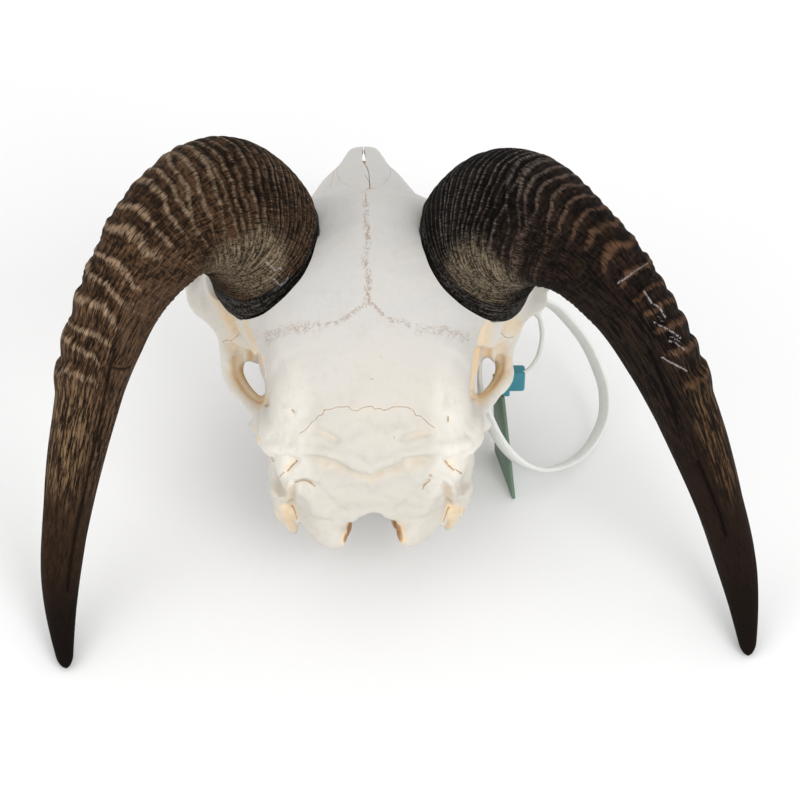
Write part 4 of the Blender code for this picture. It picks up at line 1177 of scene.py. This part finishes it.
def bone_material(props):
    paint = Paint("bone")
    place = paint.place()
    shut = paint.attribute("shelter")
    stain = paint.attribute("stain")
    crack, crack_end, crack_dark = paint.parts(paint.attribute("cracks", "Vector"))
    seam, seam_end, seam_dark = paint.parts(paint.attribute("seams", "Vector"))
    cloud = paint.noise(place, 28.0, 4.0)
    patches = paint.noise(place, 90.0, 4.0, 0.6)
    fine = paint.noise(place, 320.0, 4.0, 0.6)
    worms = paint.noise(place, 520.0, 2.0, 0.5, 1.2)
    dust = paint.noise(place, 1400.0, 2.0, 0.6)
    across, along, tall = paint.parts(place)
    uneven = cloud - 0.5
    warm = (cloud * 0.7 + patches * 0.3).step(0.40, 0.68) * 0.5 + along.step(-0.050, -0.095) * 0.85
    # Painted light: the sides, the arches and the crest's edges are made paler where more light falls on
    # them.
    aside = abs(across + 0.011)
    painted_light_sides = aside.step(0.034, 0.056) * 0.9 + (along.step(-0.066, -0.090) * tall.step(0.060, 0.072)
                                                 * aside.step(0.020, 0.032))
    # Deeper ochre where more air is shut off, and the traced stains: partly real staining, partly painted
    # warm bounce light and shade in the hollows.
    ochre = paint.mix((patches + shut * 0.4).step(0.3, 0.8), props.bone_tan, props.bone_ochre)
    stained_and_painted_hollows = stain.held() * (0.9 + 0.5 * uneven) + (shut + uneven * 0.2).step(0.45, 0.95) * 0.7
    # The worm-eaten seams: short brown curls and pits inside a band.
    band = abs(seam + (patches - 0.5) * 0.8).step(1.15, 0.55) * seam_end.step(2.0, 0.6) * seam_dark
    curls = abs(worms - 0.5).step(0.055, 0.015) * fine.step(0.38, 0.52)
    middle = abs(seam + (fine - 0.5) * 3.0 + (worms - 0.5) * 1.6).step(0.20, 0.05)
    middle = middle * patches.step(0.36, 0.52)
    # Cracks and pits, and the tan of the bone beside them.
    split = abs(crack + (fine - 0.5) * 2.4 + (dust - 0.5) * 1.2).step(1.1, 0.35) * crack_end.step(0.5, 0.15)
    split = split * crack_dark
    halo = abs(crack).step(4.5, 1.0) * crack_dark * crack_end.step(1.0, 0.3) * 0.22
    colour = paint.layers(
        paint.mix(warm.held(), props.bone_pale, props.bone_warm),
        # Painted shade: darker where bone shuts off more of the air over a point, in creases and hollows.
        (shut.step(0.15, 0.5) * 0.3, props.bone_mottle),
        # Painted light on the sides, the arches and the crest's edges.
        (painted_light_sides.held(), props.bone_bleached),
        # Staining in the hollows, together with painted warm bounce light and shade.
        (stained_and_painted_hollows.held(), ochre),
        # Darker brown on the inner walls of the foramen and the processes: staining with painted shade.
        (((stain - 1.0) * (1.2 + (fine - 0.5) * 1.5)).held(), props.bone_brown),
        ((patches * 0.45 + fine * 0.55).step(0.50, 0.66) * 0.3, props.bone_mottle),
        (band * (curls * 0.55).most(middle * 0.75), SEAM_BROWN),
        (split * (0.55 + 0.45 * dust.step(0.35, 0.6)), CRACK_BROWN),
        (halo, props.bone_tan))
    height = fine * 0.8 + dust * 0.3 + patches * 0.7 - split * 1.6 - band * curls * 0.7
    return paint.finish(colour, 0.62 + fine * 0.16, paint.bump(height, 0.00045, 0.5))


def part_bones(skull):
    """Parts the whole skull into its bones along the sutures."""
    pieces = {}

    def part(name, region):
        pieces[name] = copy_of(skull, "bone_" + name)
        carve(pieces[name], region, "INTERSECT")

    roof_region = nasal_plate(lambda half, seam, slit: -half - SEAM, lambda half, seam, slit: half + SEAM,
                              *NASAL_ROOM)
    part("nasal_left", nasal_plate(lambda half, seam, slit: -half + SEAM,
                                   lambda half, seam, slit: seam - slit, *NASAL_CUT))
    part("nasal_right", nasal_plate(lambda half, seam, slit: seam + slit,
                                    lambda half, seam, slit: half - SEAM, *NASAL_CUT))
    for side, word in ((-1, "left"), (1, "right")):
        part("premaxilla_" + word, snout_region((side * SEAM - FACE_LEAN, side * FACE_REACH), SEAM))
        carve(pieces["premaxilla_" + word], roof_region, keep_cutter=True)
        part("zygomatic_" + word, cheek_region(side, SEAM))
    cranium = copy_of(skull, "bone_cranium")
    carve(cranium, roof_region)
    carve(cranium, snout_region((-FACE_REACH, FACE_REACH), 0.0))
    for side in (-1, 1):
        carve(cranium, cheek_region(side, 0.0))
        for cutter in horn_cutters(side):
            carve(cranium, cutter)
    carve(cranium, block(*UNDERGROUND))
    thin(cranium, PIECE_TRIANGLES)
    pieces["cranium"] = cranium
    return pieces


def snout_region(across, gap):
    return prism((*((y + gap, z) for y, z in SNOUT_SUTURE), *SNOUT_END), across)


def cheek_region(side, gap):
    corners = [(x + gap * gap_x, y + gap * gap_y, z)
               for (x, y, z), (gap_x, gap_y) in zip(CHEEK_SUTURE, CHEEK_GAPS)]
    low = [(side * x, y, CHEEK_BOTTOM) for x, y, _ in corners]
    high = [(side * x, y, z - gap) for x, y, z in corners]
    region = loft([low, high])
    select_only(region)
    bpy.ops.object.mode_set(mode="EDIT")
    bpy.ops.mesh.select_all(action="SELECT")
    bpy.ops.mesh.quads_convert_to_tris()
    bpy.ops.object.mode_set(mode="OBJECT")
    return region


def add_teeth():
    """Both rows of cheek teeth, one joined mesh."""
    total = sum(TOOTH_LENGTHS)
    teeth = []
    for side in (-1, 1):
        front = Vector((side * TOOTH_ROW_FRONT[0], TOOTH_ROW_FRONT[1], 0.0))
        back = Vector((side * TOOTH_ROW_BACK[0], TOOTH_ROW_BACK[1], 0.0))
        turn = math.atan2(front.x - back.x, back.y - front.y)
        run = 0.0
        for length, width in zip(TOOTH_LENGTHS, TOOTH_WIDTHS):
            lobes = (-0.25, 0.25) if length > MOLAR_LENGTH else (0.0,)
            for lobe in lobes:
                centre = front.lerp(back, (run + length * (0.5 + lobe)) / total)
                centre.z = TOOTH_HEIGHT / 2
                size = (width * (1.0 - MOLAR_TAPER * max(lobe, 0.0)), length / len(lobes) - TOOTH_GAP,
                        TOOTH_HEIGHT)
                teeth.append(block(centre, size, turn))
            run += length
    teeth = joined(teeth, "teeth")
    apply_modifier(teeth, "BEVEL", width=TOOTH_ROUNDING * MM, segments=3, limit_method="NONE")
    return teeth


# ---------------------------------------------------------------- horns


class HornGrid:
    """A smooth horn as rings of points, with where each point lies on the unrolled horn."""

    def __init__(self, stations):
        side = math.copysign(1.0, stations[0][0])
        route = smooth_route(stations, 1200)
        steps = np.linalg.norm(np.diff(route[:, :3], axis=0), axis=1)
        travelled = np.concatenate(([0.0], np.cumsum(steps)))
        self.length = travelled[-1]
        share = np.linspace(0.0, 1.0, HORN_RINGS)
        # The rings lie closer together near the base, where the ridges are fine.
        self.run = self.length * (0.4 * share + 0.6 * share ** 2.2)
        ring_values = np.stack([np.interp(self.run, travelled, column) for column in route.T], axis=1)
        centre = self.centre = ring_values[:, :3]
        self.radius = ring_values[:, 3:]
        ahead = np.gradient(centre, self.run, axis=0)
        ahead /= np.linalg.norm(ahead, axis=1)[:, None]
        base = np.array(mirrored(HORN_AXIS, side))
        blend = np.exp(-(self.run / 12.0) ** 2)[:, None]
        ahead = ahead * (1 - blend) + base / np.linalg.norm(base) * blend
        self.turn = np.linspace(0.0, 2 * math.pi, HORN_SIDES, endpoint=False)
        self.outward = np.zeros((HORN_RINGS, HORN_SIDES, 3))
        out = Vector((side, 0.0, 0.0))
        for i, heading in enumerate(ahead):
            heading = Vector(heading).normalized()
            out = (out - out.dot(heading) * heading).normalized()
            up = heading.cross(out)
            self.outward[i] = np.outer(np.cos(self.turn), out) + np.outer(np.sin(self.turn), up)
        left_over = np.clip((self.length - self.run) / HORN_TIP, 0.0, 1.0)[:, None]
        rounding = np.sqrt(np.maximum(1 - (1 - left_over) ** 2, 0.004))
        self.shape = self.radius * rounding * (1 + HORN_KEEL * np.cos(3 * self.turn))
        outline = np.array(BASE_OUTLINE[int(side)], float)
        away = np.degrees((-side * self.turn + math.pi) % (2 * math.pi) - math.pi)
        base_shape = np.interp(away, outline[:, 0], outline[:, 1])
        base_shape = np.convolve(np.tile(base_shape, 3), np.ones(9) / 9, "same")[HORN_SIDES:2 * HORN_SIDES]
        near = np.exp(-(self.run / 27.0) ** 2)[:, None]
        self.shape = self.shape * (1 - near) + base_shape[None, :] * near
        self.tree = BVHTree.FromPolygons([tuple(p) for p in to_model(self.points().reshape(-1, 3))],
                                         ring_faces(HORN_RINGS, HORN_SIDES))

    def points(self, relief=0.0):
        spots = self.centre[:, None] + (self.shape + relief)[..., None] * self.outward
        spots[..., 2] = np.maximum(spots[..., 2], 0.0)
        return spots

    def seen(self, pixels):
        """Where the photograph's camera sees each pixel on the smooth horn: point, turn and run."""
        found = []
        for px, py in pixels:
            spot, face = look(self.tree, px, py)
            if spot is not None:
                found.append((*spot, self.turn[face % HORN_SIDES], self.run[face // HORN_SIDES]))
        return np.array(found)


def horn_relief(grid, ridges, seed):
    """How far the surface stands out from the smooth horn, in mm, how much of a crest it is, the ridged
    side, and the grooves that the material paints with shade.
    """
    rng = np.random.default_rng(seed)
    turn = grid.turn[None, :]
    run = grid.run[:, None]
    ridge_runs = []
    ridge_ends = []
    for pixels in ridges:
        found = grid.seen(pixels)
        if len(found) < 2:
            continue
        angles = np.unwrap(found[:, 3])
        middle = angles.mean()
        away = (grid.turn - middle + math.pi) % (2 * math.pi) - math.pi + middle
        order = np.argsort(angles)
        ridge_runs.append(np.interp(away, angles[order], found[order, 4]))
        ridge_ends.append((angles[0], angles[-1]))
    ridge_runs = np.array(ridge_runs)
    order = np.argsort(ridge_runs.mean(axis=1))
    ridge_runs = np.maximum.accumulate(ridge_runs[order] + 0.01 * np.arange(len(order))[:, None], axis=0)
    outer, inner = np.median(np.array(ridge_ends), axis=0)
    heading = 1.0 if inner > outer else -1.0
    # 1 on the outer side and over the edge, 0 on the inner side.
    past = heading * ((turn - outer + math.pi) % (2 * math.pi) - math.pi)
    reach = abs(inner - outer)
    outer_side = smooth_step(past, -2.6, -1.6) * (1 - smooth_step(past, 0.75 * reach, 1.35 * reach))
    outer_side = np.maximum(outer_side, 0.6 * (1 - smooth_step(run, 50.0, 95.0)))
    # Fine growth rings from the base to the first coarse ridge, and faint ones past it.
    crest = np.zeros((HORN_RINGS, HORN_SIDES))
    groove_shade = np.zeros((HORN_RINGS, HORN_SIDES))
    relief = np.zeros((HORN_RINGS, HORN_SIDES))
    full = 0.85 + 0.15 * outer_side
    place = 9.0
    first = ridge_runs[0].mean()
    while place < first + 45.0:
        pitch = rng.uniform(1.8, 2.9)
        waver = (0.5 * np.sin(2 * turn + 0.05 * place) + 0.25 * np.sin(5 * turn + 1.3 + 0.1 * place)
                 + 0.16 * np.sin(13 * turn + 0.25 * place) + 0.1 * np.sin(29 * turn + place))
        away = run - place - waver
        strength = rng.uniform(0.65, 1.0) * (1.0 if place < first else 0.4)
        crest = np.maximum(crest, np.exp(-np.abs(away / 0.48) ** 1.6) * strength * full)
        gap = np.exp(-((away + 0.5 * pitch) / 0.42) ** 2) * strength * full
        groove_shade = np.maximum(groove_shade, gap)
        relief += (0.5 * np.exp(-(away / 0.7) ** 2) * strength - 0.5 * gap) * full
        place += pitch

    # Coarse ridges: each rises steeply on its base side and slopes off towards the tip.
    for k, here in enumerate(ridge_runs):
        after = ridge_runs[k + 1] if k + 1 < len(ridge_runs) else here + 16.0
        span = np.maximum(after - here, 2.5)
        along = ((run - here[None, :]) / span[None, :] + 0.045 * np.sin(7 * turn + k)
                 + 0.03 * np.sin(17 * turn + 2 * k) + 0.02 * np.sin(31 * turn + 5 * k))
        lobe = smooth_step(along, -0.22, 0.06) * (1 - smooth_step(along, 0.12, 0.78))
        height = np.clip(0.12 * span, 0.6, 1.7)
        relief += (height * outer_side) * lobe
        wide = np.clip(0.19 * span, 0.7, 1.9)
        crest = np.maximum(crest, np.exp(-((along - 0.08) * span / wide) ** 2) * outer_side)
        groove_shade = np.maximum(groove_shade, 0.5 * np.exp(-((along + 0.2) * span / (0.8 * wide)) ** 2) * outer_side)
    return relief, crest, outer_side, groove_shade


HORNS = {
    -1: (LEFT_HORN, LEFT_RIDGES, LEFT_GROOVES, LEFT_SCRATCHES, LEFT_PATCH, LEFT_TONES),
    1: (RIGHT_HORN, RIGHT_RIDGES, RIGHT_GROOVES, RIGHT_SCRATCHES, RIGHT_PATCH, RIGHT_TONES),
}


def horn_surface(side):
    """One horn's grid, its relief, and what its material needs: crests, the ridged side, and grooves that
    it paints with dark shade.
    """
    stations, ridges, grooves, _, _, _ = HORNS[side]
    grid = HornGrid(stations)
    relief, crest, outer_side, groove_shade = horn_relief(grid, ridges, 5 + side)
    turn = grid.turn[None, :]
    run = grid.run[:, None]
    # The worn rim, a rounded welt with a wavy edge.
    welt = np.exp(-((run - 4.2) / 3.2) ** 2)
    relief += welt * (0.7 + 0.4 * np.sin(3 * turn + side) + 0.25 * np.sin(8 * turn + 1)
                      + 0.12 * np.sin(19 * turn))
    relief -= 0.5 * np.exp(-((run - 9.0) / 1.2) ** 2)
    relief -= 1.4 * (1 - smooth_step(run, -0.5, 1.8))
    # Long shallow fluting past the ridges.
    share = run / grid.length
    flutes = sum(np.sin(n * turn + 0.012 * n * run + n) / n for n in (7, 11, 17, 23))
    relief += 0.75 * flutes * smooth_step(share, 0.25, 0.6) * (1 - smooth_step(share, 0.8, 1.0))
    flat = grid.points().reshape(-1, 3)
    sunk = np.zeros(len(flat))
    for pixels in grooves:
        distance, _, _ = nearest_on_line(flat, grid.seen(pixels)[:, :3])
        sunk = np.maximum(sunk, 0.85 * np.exp(-(distance / 1.1) ** 2))
    sunk = sunk.reshape(relief.shape)
    relief -= 0.9 * sunk
    relief *= smooth_step(grid.length - run, 0.0, HORN_TIP)
    # The grooves, which the material paints with dark shade.
    sunk = np.maximum(sunk, groove_shade * smooth_step(run, 7.0, 11.0))
    return grid, relief, crest, outer_side, sunk


def horn_cutters(side):
    """The room that a horn's root takes up in the bone, and the room between its rim and the camera."""
    grid, relief, _, _, _ = horn_surface(side)
    near = grid.run < HORN_ROOT
    rings = grid.points(relief + HORN_CLEARANCE)[near][::4]
    axis = np.array(mirrored(HORN_AXIS, side))
    room = loft(rings - HORN_SINK * axis / np.linalg.norm(axis))
    rim = grid.points(relief + RIM_CLEARANCE)[np.searchsorted(grid.run, RIM_RUN)]
    _, _, back, _ = sight_axes()
    return room, loft([rim, rim + RIM_REACH * np.array(back)])


def horn_mesh(side, name):
    """One horn with the attributes that its material reads."""
    _, _, _, scratches, _, _ = HORNS[side]
    grid, relief, crest, outer_side, sunk = horn_surface(side)
    flat = grid.points().reshape(-1, 3)
    horn = loft(grid.points(relief), name)
    marks = np.full((len(flat), 3), FAR_AWAY)
    for pixels in scratches:
        signed, over = signed_distance(flat, grid.outward.reshape(-1, 3), grid.seen(pixels)[:, :3])
        closer = np.abs(signed) < np.abs(marks[:, 0])
        marks[closer, 0] = signed[closer]
        marks[closer, 1] = over[closer]
    marks[:, 2] = sunk.reshape(-1)
    turn = grid.turn[None, :]
    unrolled = np.broadcast_arrays(grid.radius * np.cos(turn), grid.radius * np.sin(turn),
                                   grid.run[:, None])
    write_attribute(horn, "unrolled", np.stack(unrolled, axis=-1))
    write_attribute(horn, "shape", np.stack([crest, outer_side, relief], axis=-1))
    write_attribute(horn, "marks", marks)
    return horn, grid


def horn_material(name, tones, patch):
    """Horn: rings, grain, wearing and painted highlight on the crests, and painted shade in the grooves and
    low parts, on the unrolled surface. patch is the matt patch's middle, in metres.
    """
    paint = Paint(name)
    place = paint.place()
    unrolled = paint.attribute("unrolled", "Vector")
    crest, outer, relief = paint.parts(paint.attribute("shape", "Vector"))
    scratch, past_end, sunk = paint.parts(paint.attribute("marks", "Vector"))
    _, _, run = paint.parts(unrolled)
    hair = paint.noise(paint.scaled(unrolled, (3.0, 3.0, 0.2)), 1.0, 3.0, 0.65)
    grain = paint.noise(paint.scaled(unrolled, (1.0, 1.0, 0.07)), 1.0, 5.0, 0.7)
    lines = paint.noise(paint.scaled(unrolled, (0.12, 0.12, 1.7)), 1.0, 4.0, 0.7)
    rings = paint.noise(paint.scaled(unrolled, (0.22, 0.22, 1.15)), 1.0, 4.0, 0.7)
    cloud = paint.noise(place, 45.0, 4.0, 0.6)
    speck = paint.noise(place, 900.0, 2.0, 0.6)
    frizz = hair - 0.5
    streak = grain - 0.5
    uneven = cloud - 0.5
    near_patch = (paint.distance(place, patch) + uneven * 0.014).step(0.022, 0.012)
    beads = (hair * 0.6 + grain * 0.4).step(0.41, 0.57)
    ringed = (run + uneven * 60.0).step(120.0, 60.0)
    # Random tone from hairs, grain and rings, with painted shade where the relief is low and painted light
    # where it is high.
    tone_and_relief_shade = frizz * 2.2 + streak * 2.6 + uneven * 1.5 + (rings - 0.5) * (0.8 + ringed * 3.4) + relief * 0.12
    # Crests, lighter partly from wearing and partly from painted highlight: grey near the base, then tan,
    # broken up into beads by the hairs.
    crest_wear_and_highlight = paint.mix(run.step(30.0, 75.0), tones["crest_near"], tones["crest_far"])
    ragged = (crest + frizz * 0.9 + streak * 0.8 + uneven * 1.0).step(0.3, 1.05)
    fading = 1.0 - run.step(105.0, 165.0) * tones["fade"]
    # The fine lines of the matt golden patch behind the base, and the frayed rim.
    gold = paint.mix((lines * 0.65 + speck * 0.35 + frizz * 0.3).step(0.42, 0.60), tones["patch_line"],
                     tones["patch"])
    rim = (run + uneven * 7.0).step(11.5, 9.0)
    frayed = paint.mix((lines * 0.6 + speck * 0.4).step(0.46, 0.60) * 0.8, tones["rim"], tones["rim_fibre"])
    scratched = abs(scratch + frizz * 1.6).step(0.42, 0.14) * past_end.step(0.5, 0.2)
    scratched = scratched * speck.step(0.38, 0.48)
    colour = paint.layers(
        # Dark where this tone is low: random dark tone, and painted shade in the relief's low parts.
        paint.mix(tone_and_relief_shade.step(-0.45, 0.75), tones["valley"], tones["flank"]),
        ((run + uneven * 40.0).step(45.0, 105.0) * (grain * 0.6 + hair * 0.4).step(0.46, 0.64),
         tones["grain"]),
        ((1.0 - outer) * (cloud + streak).step(0.3, 0.75) * run.step(50.0, 90.0) * 0.6, tones["inner"]),
        ((run + uneven * 40.0).step(*tones["dark_end"]) * (1.0 - hair * 0.3), tones["end"]),
        # Painted highlight and wearing on the crests.
        (ragged * (0.2 + 0.8 * beads) * fading * tones["wear_and_highlight"], crest_wear_and_highlight),
        (near_patch * 0.88, gold),
        (outer * run.step(110.0, 150.0) * run.step(195.0, 165.0) * grain.step(0.48, 0.64) * 0.7,
         tones["streak"]),
        ((hair * 0.5 + grain * 0.5).step(0.475, 0.40) * (1.0 - near_patch * 0.7) * 0.65, tones["valley"]),
        # Painted shade in the grooves.
        ((sunk + streak * 0.9).step(0.25, 0.95) * (1.0 - near_patch * 0.6) * 0.85, tones["groove_shade"]),
        ((run + uneven * 34.0 + streak * 60.0).step(196.0, 250.0) * 0.94, tones["tip"]),
        (rim * 0.93, frayed),
        (scratched * 0.85, SCRATCH_GREY))
    height = (hair * (1.1 - near_patch * 0.7) + grain * 0.9 + lines * (0.4 + near_patch * 0.6)
              + crest * beads * 0.5 + rim * lines * 1.2)
    paint.shader.inputs["Specular IOR Level"].default_value = 0.05
    return paint.finish(colour, 0.56 + hair * 0.2, paint.bump(height, 0.0011, 0.9))


# ---------------------------------------------------------------- the seal


def strap_mesh():
    loop = tuple((point, LOOP_AXIS) for point in STRAP_LOOP)
    route = smooth_route([(*point, *width) for point, width in STRAP_ENTRY + loop], 420)
    centre = route[:, :3]
    half_w = STRAP_WIDTH / 2
    half_t = STRAP_THICKNESS / 2
    side = [(half_w, half_t - STRAP_EDGE), (half_w - STRAP_EDGE, half_t), (0.0, half_t)]
    right = [(a, -b) for a, b in reversed(side)] + side
    section = [(-a, -b) for a, b in side[:2]] + right + [(-a, b) for a, b in side[1::-1]]
    rings = []
    for point, width, ahead in zip(centre, route[:, 3:], np.gradient(centre, axis=0)):
        ahead = Vector(ahead).normalized()
        across = Vector(width)
        across = (across - across.dot(ahead) * ahead).normalized()
        through = ahead.cross(across)
        rings.append([Vector(point) + a * across + b * through for a, b in section])
    return loft(rings, "seal_strap")


def plastic(name, colour, roughness):
    paint = Paint(name)
    place = paint.place()
    cloud = paint.noise(place, 120.0, 3.0)
    shade = paint.mix(cloud * 0.25, colour, tuple(0.75 * c for c in colour))
    normal = paint.bump(paint.noise(place, 1500.0, 2.0), 0.0001, 0.2)
    return paint.finish(shade, roughness + cloud * 0.1, normal)


def rounded_block(centre, size, rounding, segments):
    thing = settled(block(centre, size))
    apply_modifier(thing, "BEVEL", width=rounding * MM, segments=segments, limit_method="NONE")
    return thing


def lock_mesh():
    return joined([rounded_block(LOCK_CENTRE, LOCK_SIZE, LOCK_ROUNDING, 4),
                   rounded_block(NECK_CENTRE, NECK_SIZE, NECK_ROUNDING, 3)], "seal_lock")


def flag_mesh():
    top = Vector(FLAG_TOP)
    foot = Vector(FLAG_FOOT)
    away = Vector((*FLAG_DEPTH, 0.0))
    through = Vector((away.y, -away.x, 0.0)).normalized() * FLAG_THICKNESS / 2
    flag = loft([[point + way * through for point in (top, foot, foot + away, top + 0.5 * away)]
                 for way in (-1, 1)], "seal_flag")
    apply_modifier(flag, "BEVEL", width=FLAG_ROUNDING * MM, segments=3, limit_method="NONE")
    return flag


# ---------------------------------------------------------------- the add-on


COLOUR = {"size": 3, "subtype": "COLOR", "min": 0.0, "max": 1.0}


class SkullFinish(bpy.types.PropertyGroup):
    """Colours of the bone."""

    bone_pale: FloatVectorProperty(name="Pale bone", description="Bone of the roof and the face",
                                   default=(0.585, 0.572, 0.555), **COLOUR)
    bone_warm: FloatVectorProperty(name="Warm bone", description="Bone of the condyles and crests",
                                   default=(0.625, 0.590, 0.525), **COLOUR)
    # Painted light: a paler bone for the sides, the arches and the crest's edges, where more light falls.
    bone_bleached: FloatVectorProperty(name="Bleached bone", description="Bone of the arches and the crest",
                                       default=(0.80, 0.765, 0.69), **COLOUR)
    # Used both for the random mottling and for the painted shade in creases and hollows.
    bone_mottle: FloatVectorProperty(name="Mottling", description="The faint darker mottling of the bone",
                                     default=(0.52, 0.47, 0.40), **COLOUR)
    # Tan, brown and ochre colour the hollows: partly real staining, partly painted warm bounce light and
    # shade.
    bone_tan: FloatVectorProperty(name="Tan bone", description="Lightly stained bone",
                                  default=(0.86, 0.70, 0.49), **COLOUR)
    bone_brown: FloatVectorProperty(name="Brown bone", description="Bone on the foramen's inner walls",
                                    default=(0.34, 0.17, 0.08), **COLOUR)
    bone_ochre: FloatVectorProperty(name="Ochre bone", description="Bone in the deepest hollows",
                                    default=(0.84, 0.60, 0.32), **COLOUR)


class HornFinish(bpy.types.PropertyGroup):
    """Colours of the horns."""

    left_flank: FloatVectorProperty(name="Left", description="The left horn between its ridges",
                                    default=(0.112, 0.060, 0.032), **COLOUR)
    right_flank: FloatVectorProperty(name="Right", description="The right horn between its ridges",
                                     default=(0.026, 0.016, 0.011), **COLOUR)


class SealFinish(bpy.types.PropertyGroup):
    """Colours of the seal."""

    strap: FloatVectorProperty(name="Strap", description="The strap's plastic", default=(0.84, 0.85, 0.81),
                               **COLOUR)
    lock: FloatVectorProperty(name="Lock", description="The lock's plastic", default=(0.035, 0.26, 0.33),
                              **COLOUR)
    flag: FloatVectorProperty(name="Flag", description="The flag's plastic", default=(0.12, 0.20, 0.13),
                              **COLOUR)


class StageFinish(bpy.types.PropertyGroup):
    """The floor and its light."""

    key_light: FloatProperty(name="Main light", description="Power of the main light", unit="POWER",
                             default=12.0, min=0.0)
    air: FloatProperty(name="Air light", description="Strength of the light from all round", default=0.90,
                       min=0.0)


class SKULL_OT_bones(bpy.types.Operator):
    """Model the bones of the skull with their teeth"""

    bl_idname = "skull.bones"
    bl_label = "Bones"

    def execute(self, context):
        material = bone_material(context.scene.skull_finish)
        skull = whole_skull()
        sculpt(skull)
        tree = bone_tree(skull)
        for name, piece in part_bones(skull).items():
            shelter(piece, tree)
            trace_marks(piece, tree)
            put(piece, (name,), material)
        bpy.data.objects.remove(skull)
        teeth = add_teeth()
        set_material(teeth, material)
        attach(teeth, "root")
        return {"FINISHED"}


class SKULL_OT_horns(bpy.types.Operator):
    """Sweep both horns with their ridges"""

    bl_idname = "skull.horns"
    bl_label = "Horns"

    def execute(self, context):
        finish = context.scene.horn_finish
        for side, word in ((-1, "left"), (1, "right")):
            horn, grid = horn_mesh(side, "horn_sheath_" + word)
            _, _, _, _, patch, tones = HORNS[side]
            middle = tuple(to_model(grid.seen([patch])[0, :3]))
            shades = dict(tones, flank=tuple(getattr(finish, word + "_flank")))
            put(horn, ("horn_" + word,), horn_material("horn_" + word, shades, middle))
        return {"FINISHED"}


class SKULL_OT_seal(bpy.types.Operator):
    """Model the plastic seal: strap, lock and flag"""

    bl_idname = "skull.seal"
    bl_label = "Seal"

    def execute(self, context):
        finish = context.scene.seal_finish
        put(strap_mesh(), ("tag_strap",), plastic("strap_plastic", finish.strap, 0.35))
        put(lock_mesh(), ("tag_lock",), plastic("lock_plastic", finish.lock, 0.35))
        put(flag_mesh(), ("tag_flag",), plastic("flag_plastic", finish.flag, 0.4))
        return {"FINISHED"}


class SKULL_OT_stage(bpy.types.Operator):
    """Set the floor, the light and the camera"""

    bl_idname = "skull.stage"
    bl_label = "Stage"

    def execute(self, context):
        props = context.scene.stage_finish
        scene = context.scene
        scene.view_settings.view_transform = "Standard"
        bpy.ops.object.select_all(action="DESELECT")
        bpy.ops.mesh.primitive_plane_add(size=FLOOR_SIZE, location=(0.0, 0.0, 0.0))
        floor = context.object
        floor.name = "floor"
        paint = Paint("floor_paper")
        shade = paint.mix(paint.noise(paint.place(), 3.0) * 0.1, (0.93, 0.93, 0.93), (0.90, 0.90, 0.90))
        set_material(floor, paint.finish(shade, 0.9))
        world = bpy.data.worlds.new("air")
        world.use_nodes = True
        background = world.node_tree.nodes["Background"]
        background.inputs["Color"].default_value = (1.0, 1.0, 1.0, 1.0)
        background.inputs["Strength"].default_value = props.air
        scene.world = world
        for name, place, size, share in LIGHTS:
            bpy.ops.object.light_add(type="AREA", location=place)
            light = context.object
            light.name = name
            light.data.size = size
            light.data.energy = props.key_light * share
            light.rotation_euler = (-Vector(place)).to_track_quat("-Z", "Y").to_euler()
        right, up, back, eye = sight_axes()
        camera = bpy.data.objects.new("camera", bpy.data.cameras.new("camera"))
        scene.collection.objects.link(camera)
        turned = Matrix((right, up, back)).transposed().to_4x4()
        camera.matrix_world = Matrix.Translation(to_model(eye)) @ turned
        camera.data.sensor_width = SENSOR_WIDTH
        camera.data.lens = SIGHT_FOCAL / IMAGE_SIZE * SENSOR_WIDTH
        camera.data.clip_start = 0.05
        camera.data.clip_end = 30.0
        scene.camera = camera
        return {"FINISHED"}


class SKULL_PT_panel(bpy.types.Panel):
    """Lists the steps that build the skull"""

    bl_idname = "SKULL_PT_panel"
    bl_label = "Barbary Sheep Skull"
    bl_space_type = "VIEW_3D"
    bl_region_type = "UI"
    bl_category = "Skull"

    def draw(self, context):
        scene = context.scene
        for group in (scene.skull_finish, scene.horn_finish, scene.seal_finish, scene.stage_finish):
            for name in group.bl_rna.properties.keys():
                if name not in ("rna_type", "name"):
                    self.layout.prop(group, name)
        for step in STEPS:
            self.layout.operator(step.bl_idname)


STEPS = (SKULL_OT_bones, SKULL_OT_horns, SKULL_OT_seal, SKULL_OT_stage)
GROUPS = {"skull_finish": SkullFinish, "horn_finish": HornFinish, "seal_finish": SealFinish,
          "stage_finish": StageFinish}


def register():
    for group in GROUPS.values():
        bpy.utils.register_class(group)
    for name, group in GROUPS.items():
        setattr(bpy.types.Scene, name, PointerProperty(type=group))
    for kind in (*STEPS, SKULL_PT_panel):
        bpy.utils.register_class(kind)


def unregister():
    for kind in reversed((*STEPS, SKULL_PT_panel)):
        bpy.utils.unregister_class(kind)
    for name in GROUPS:
        delattr(bpy.types.Scene, name)
    for group in reversed(tuple(GROUPS.values())):
        bpy.utils.unregister_class(group)


def main():
    register()
    for step in (bpy.ops.skull.bones, bpy.ops.skull.horns, bpy.ops.skull.seal, bpy.ops.skull.stage):
        step()


if __name__ == "__main__":
    main()
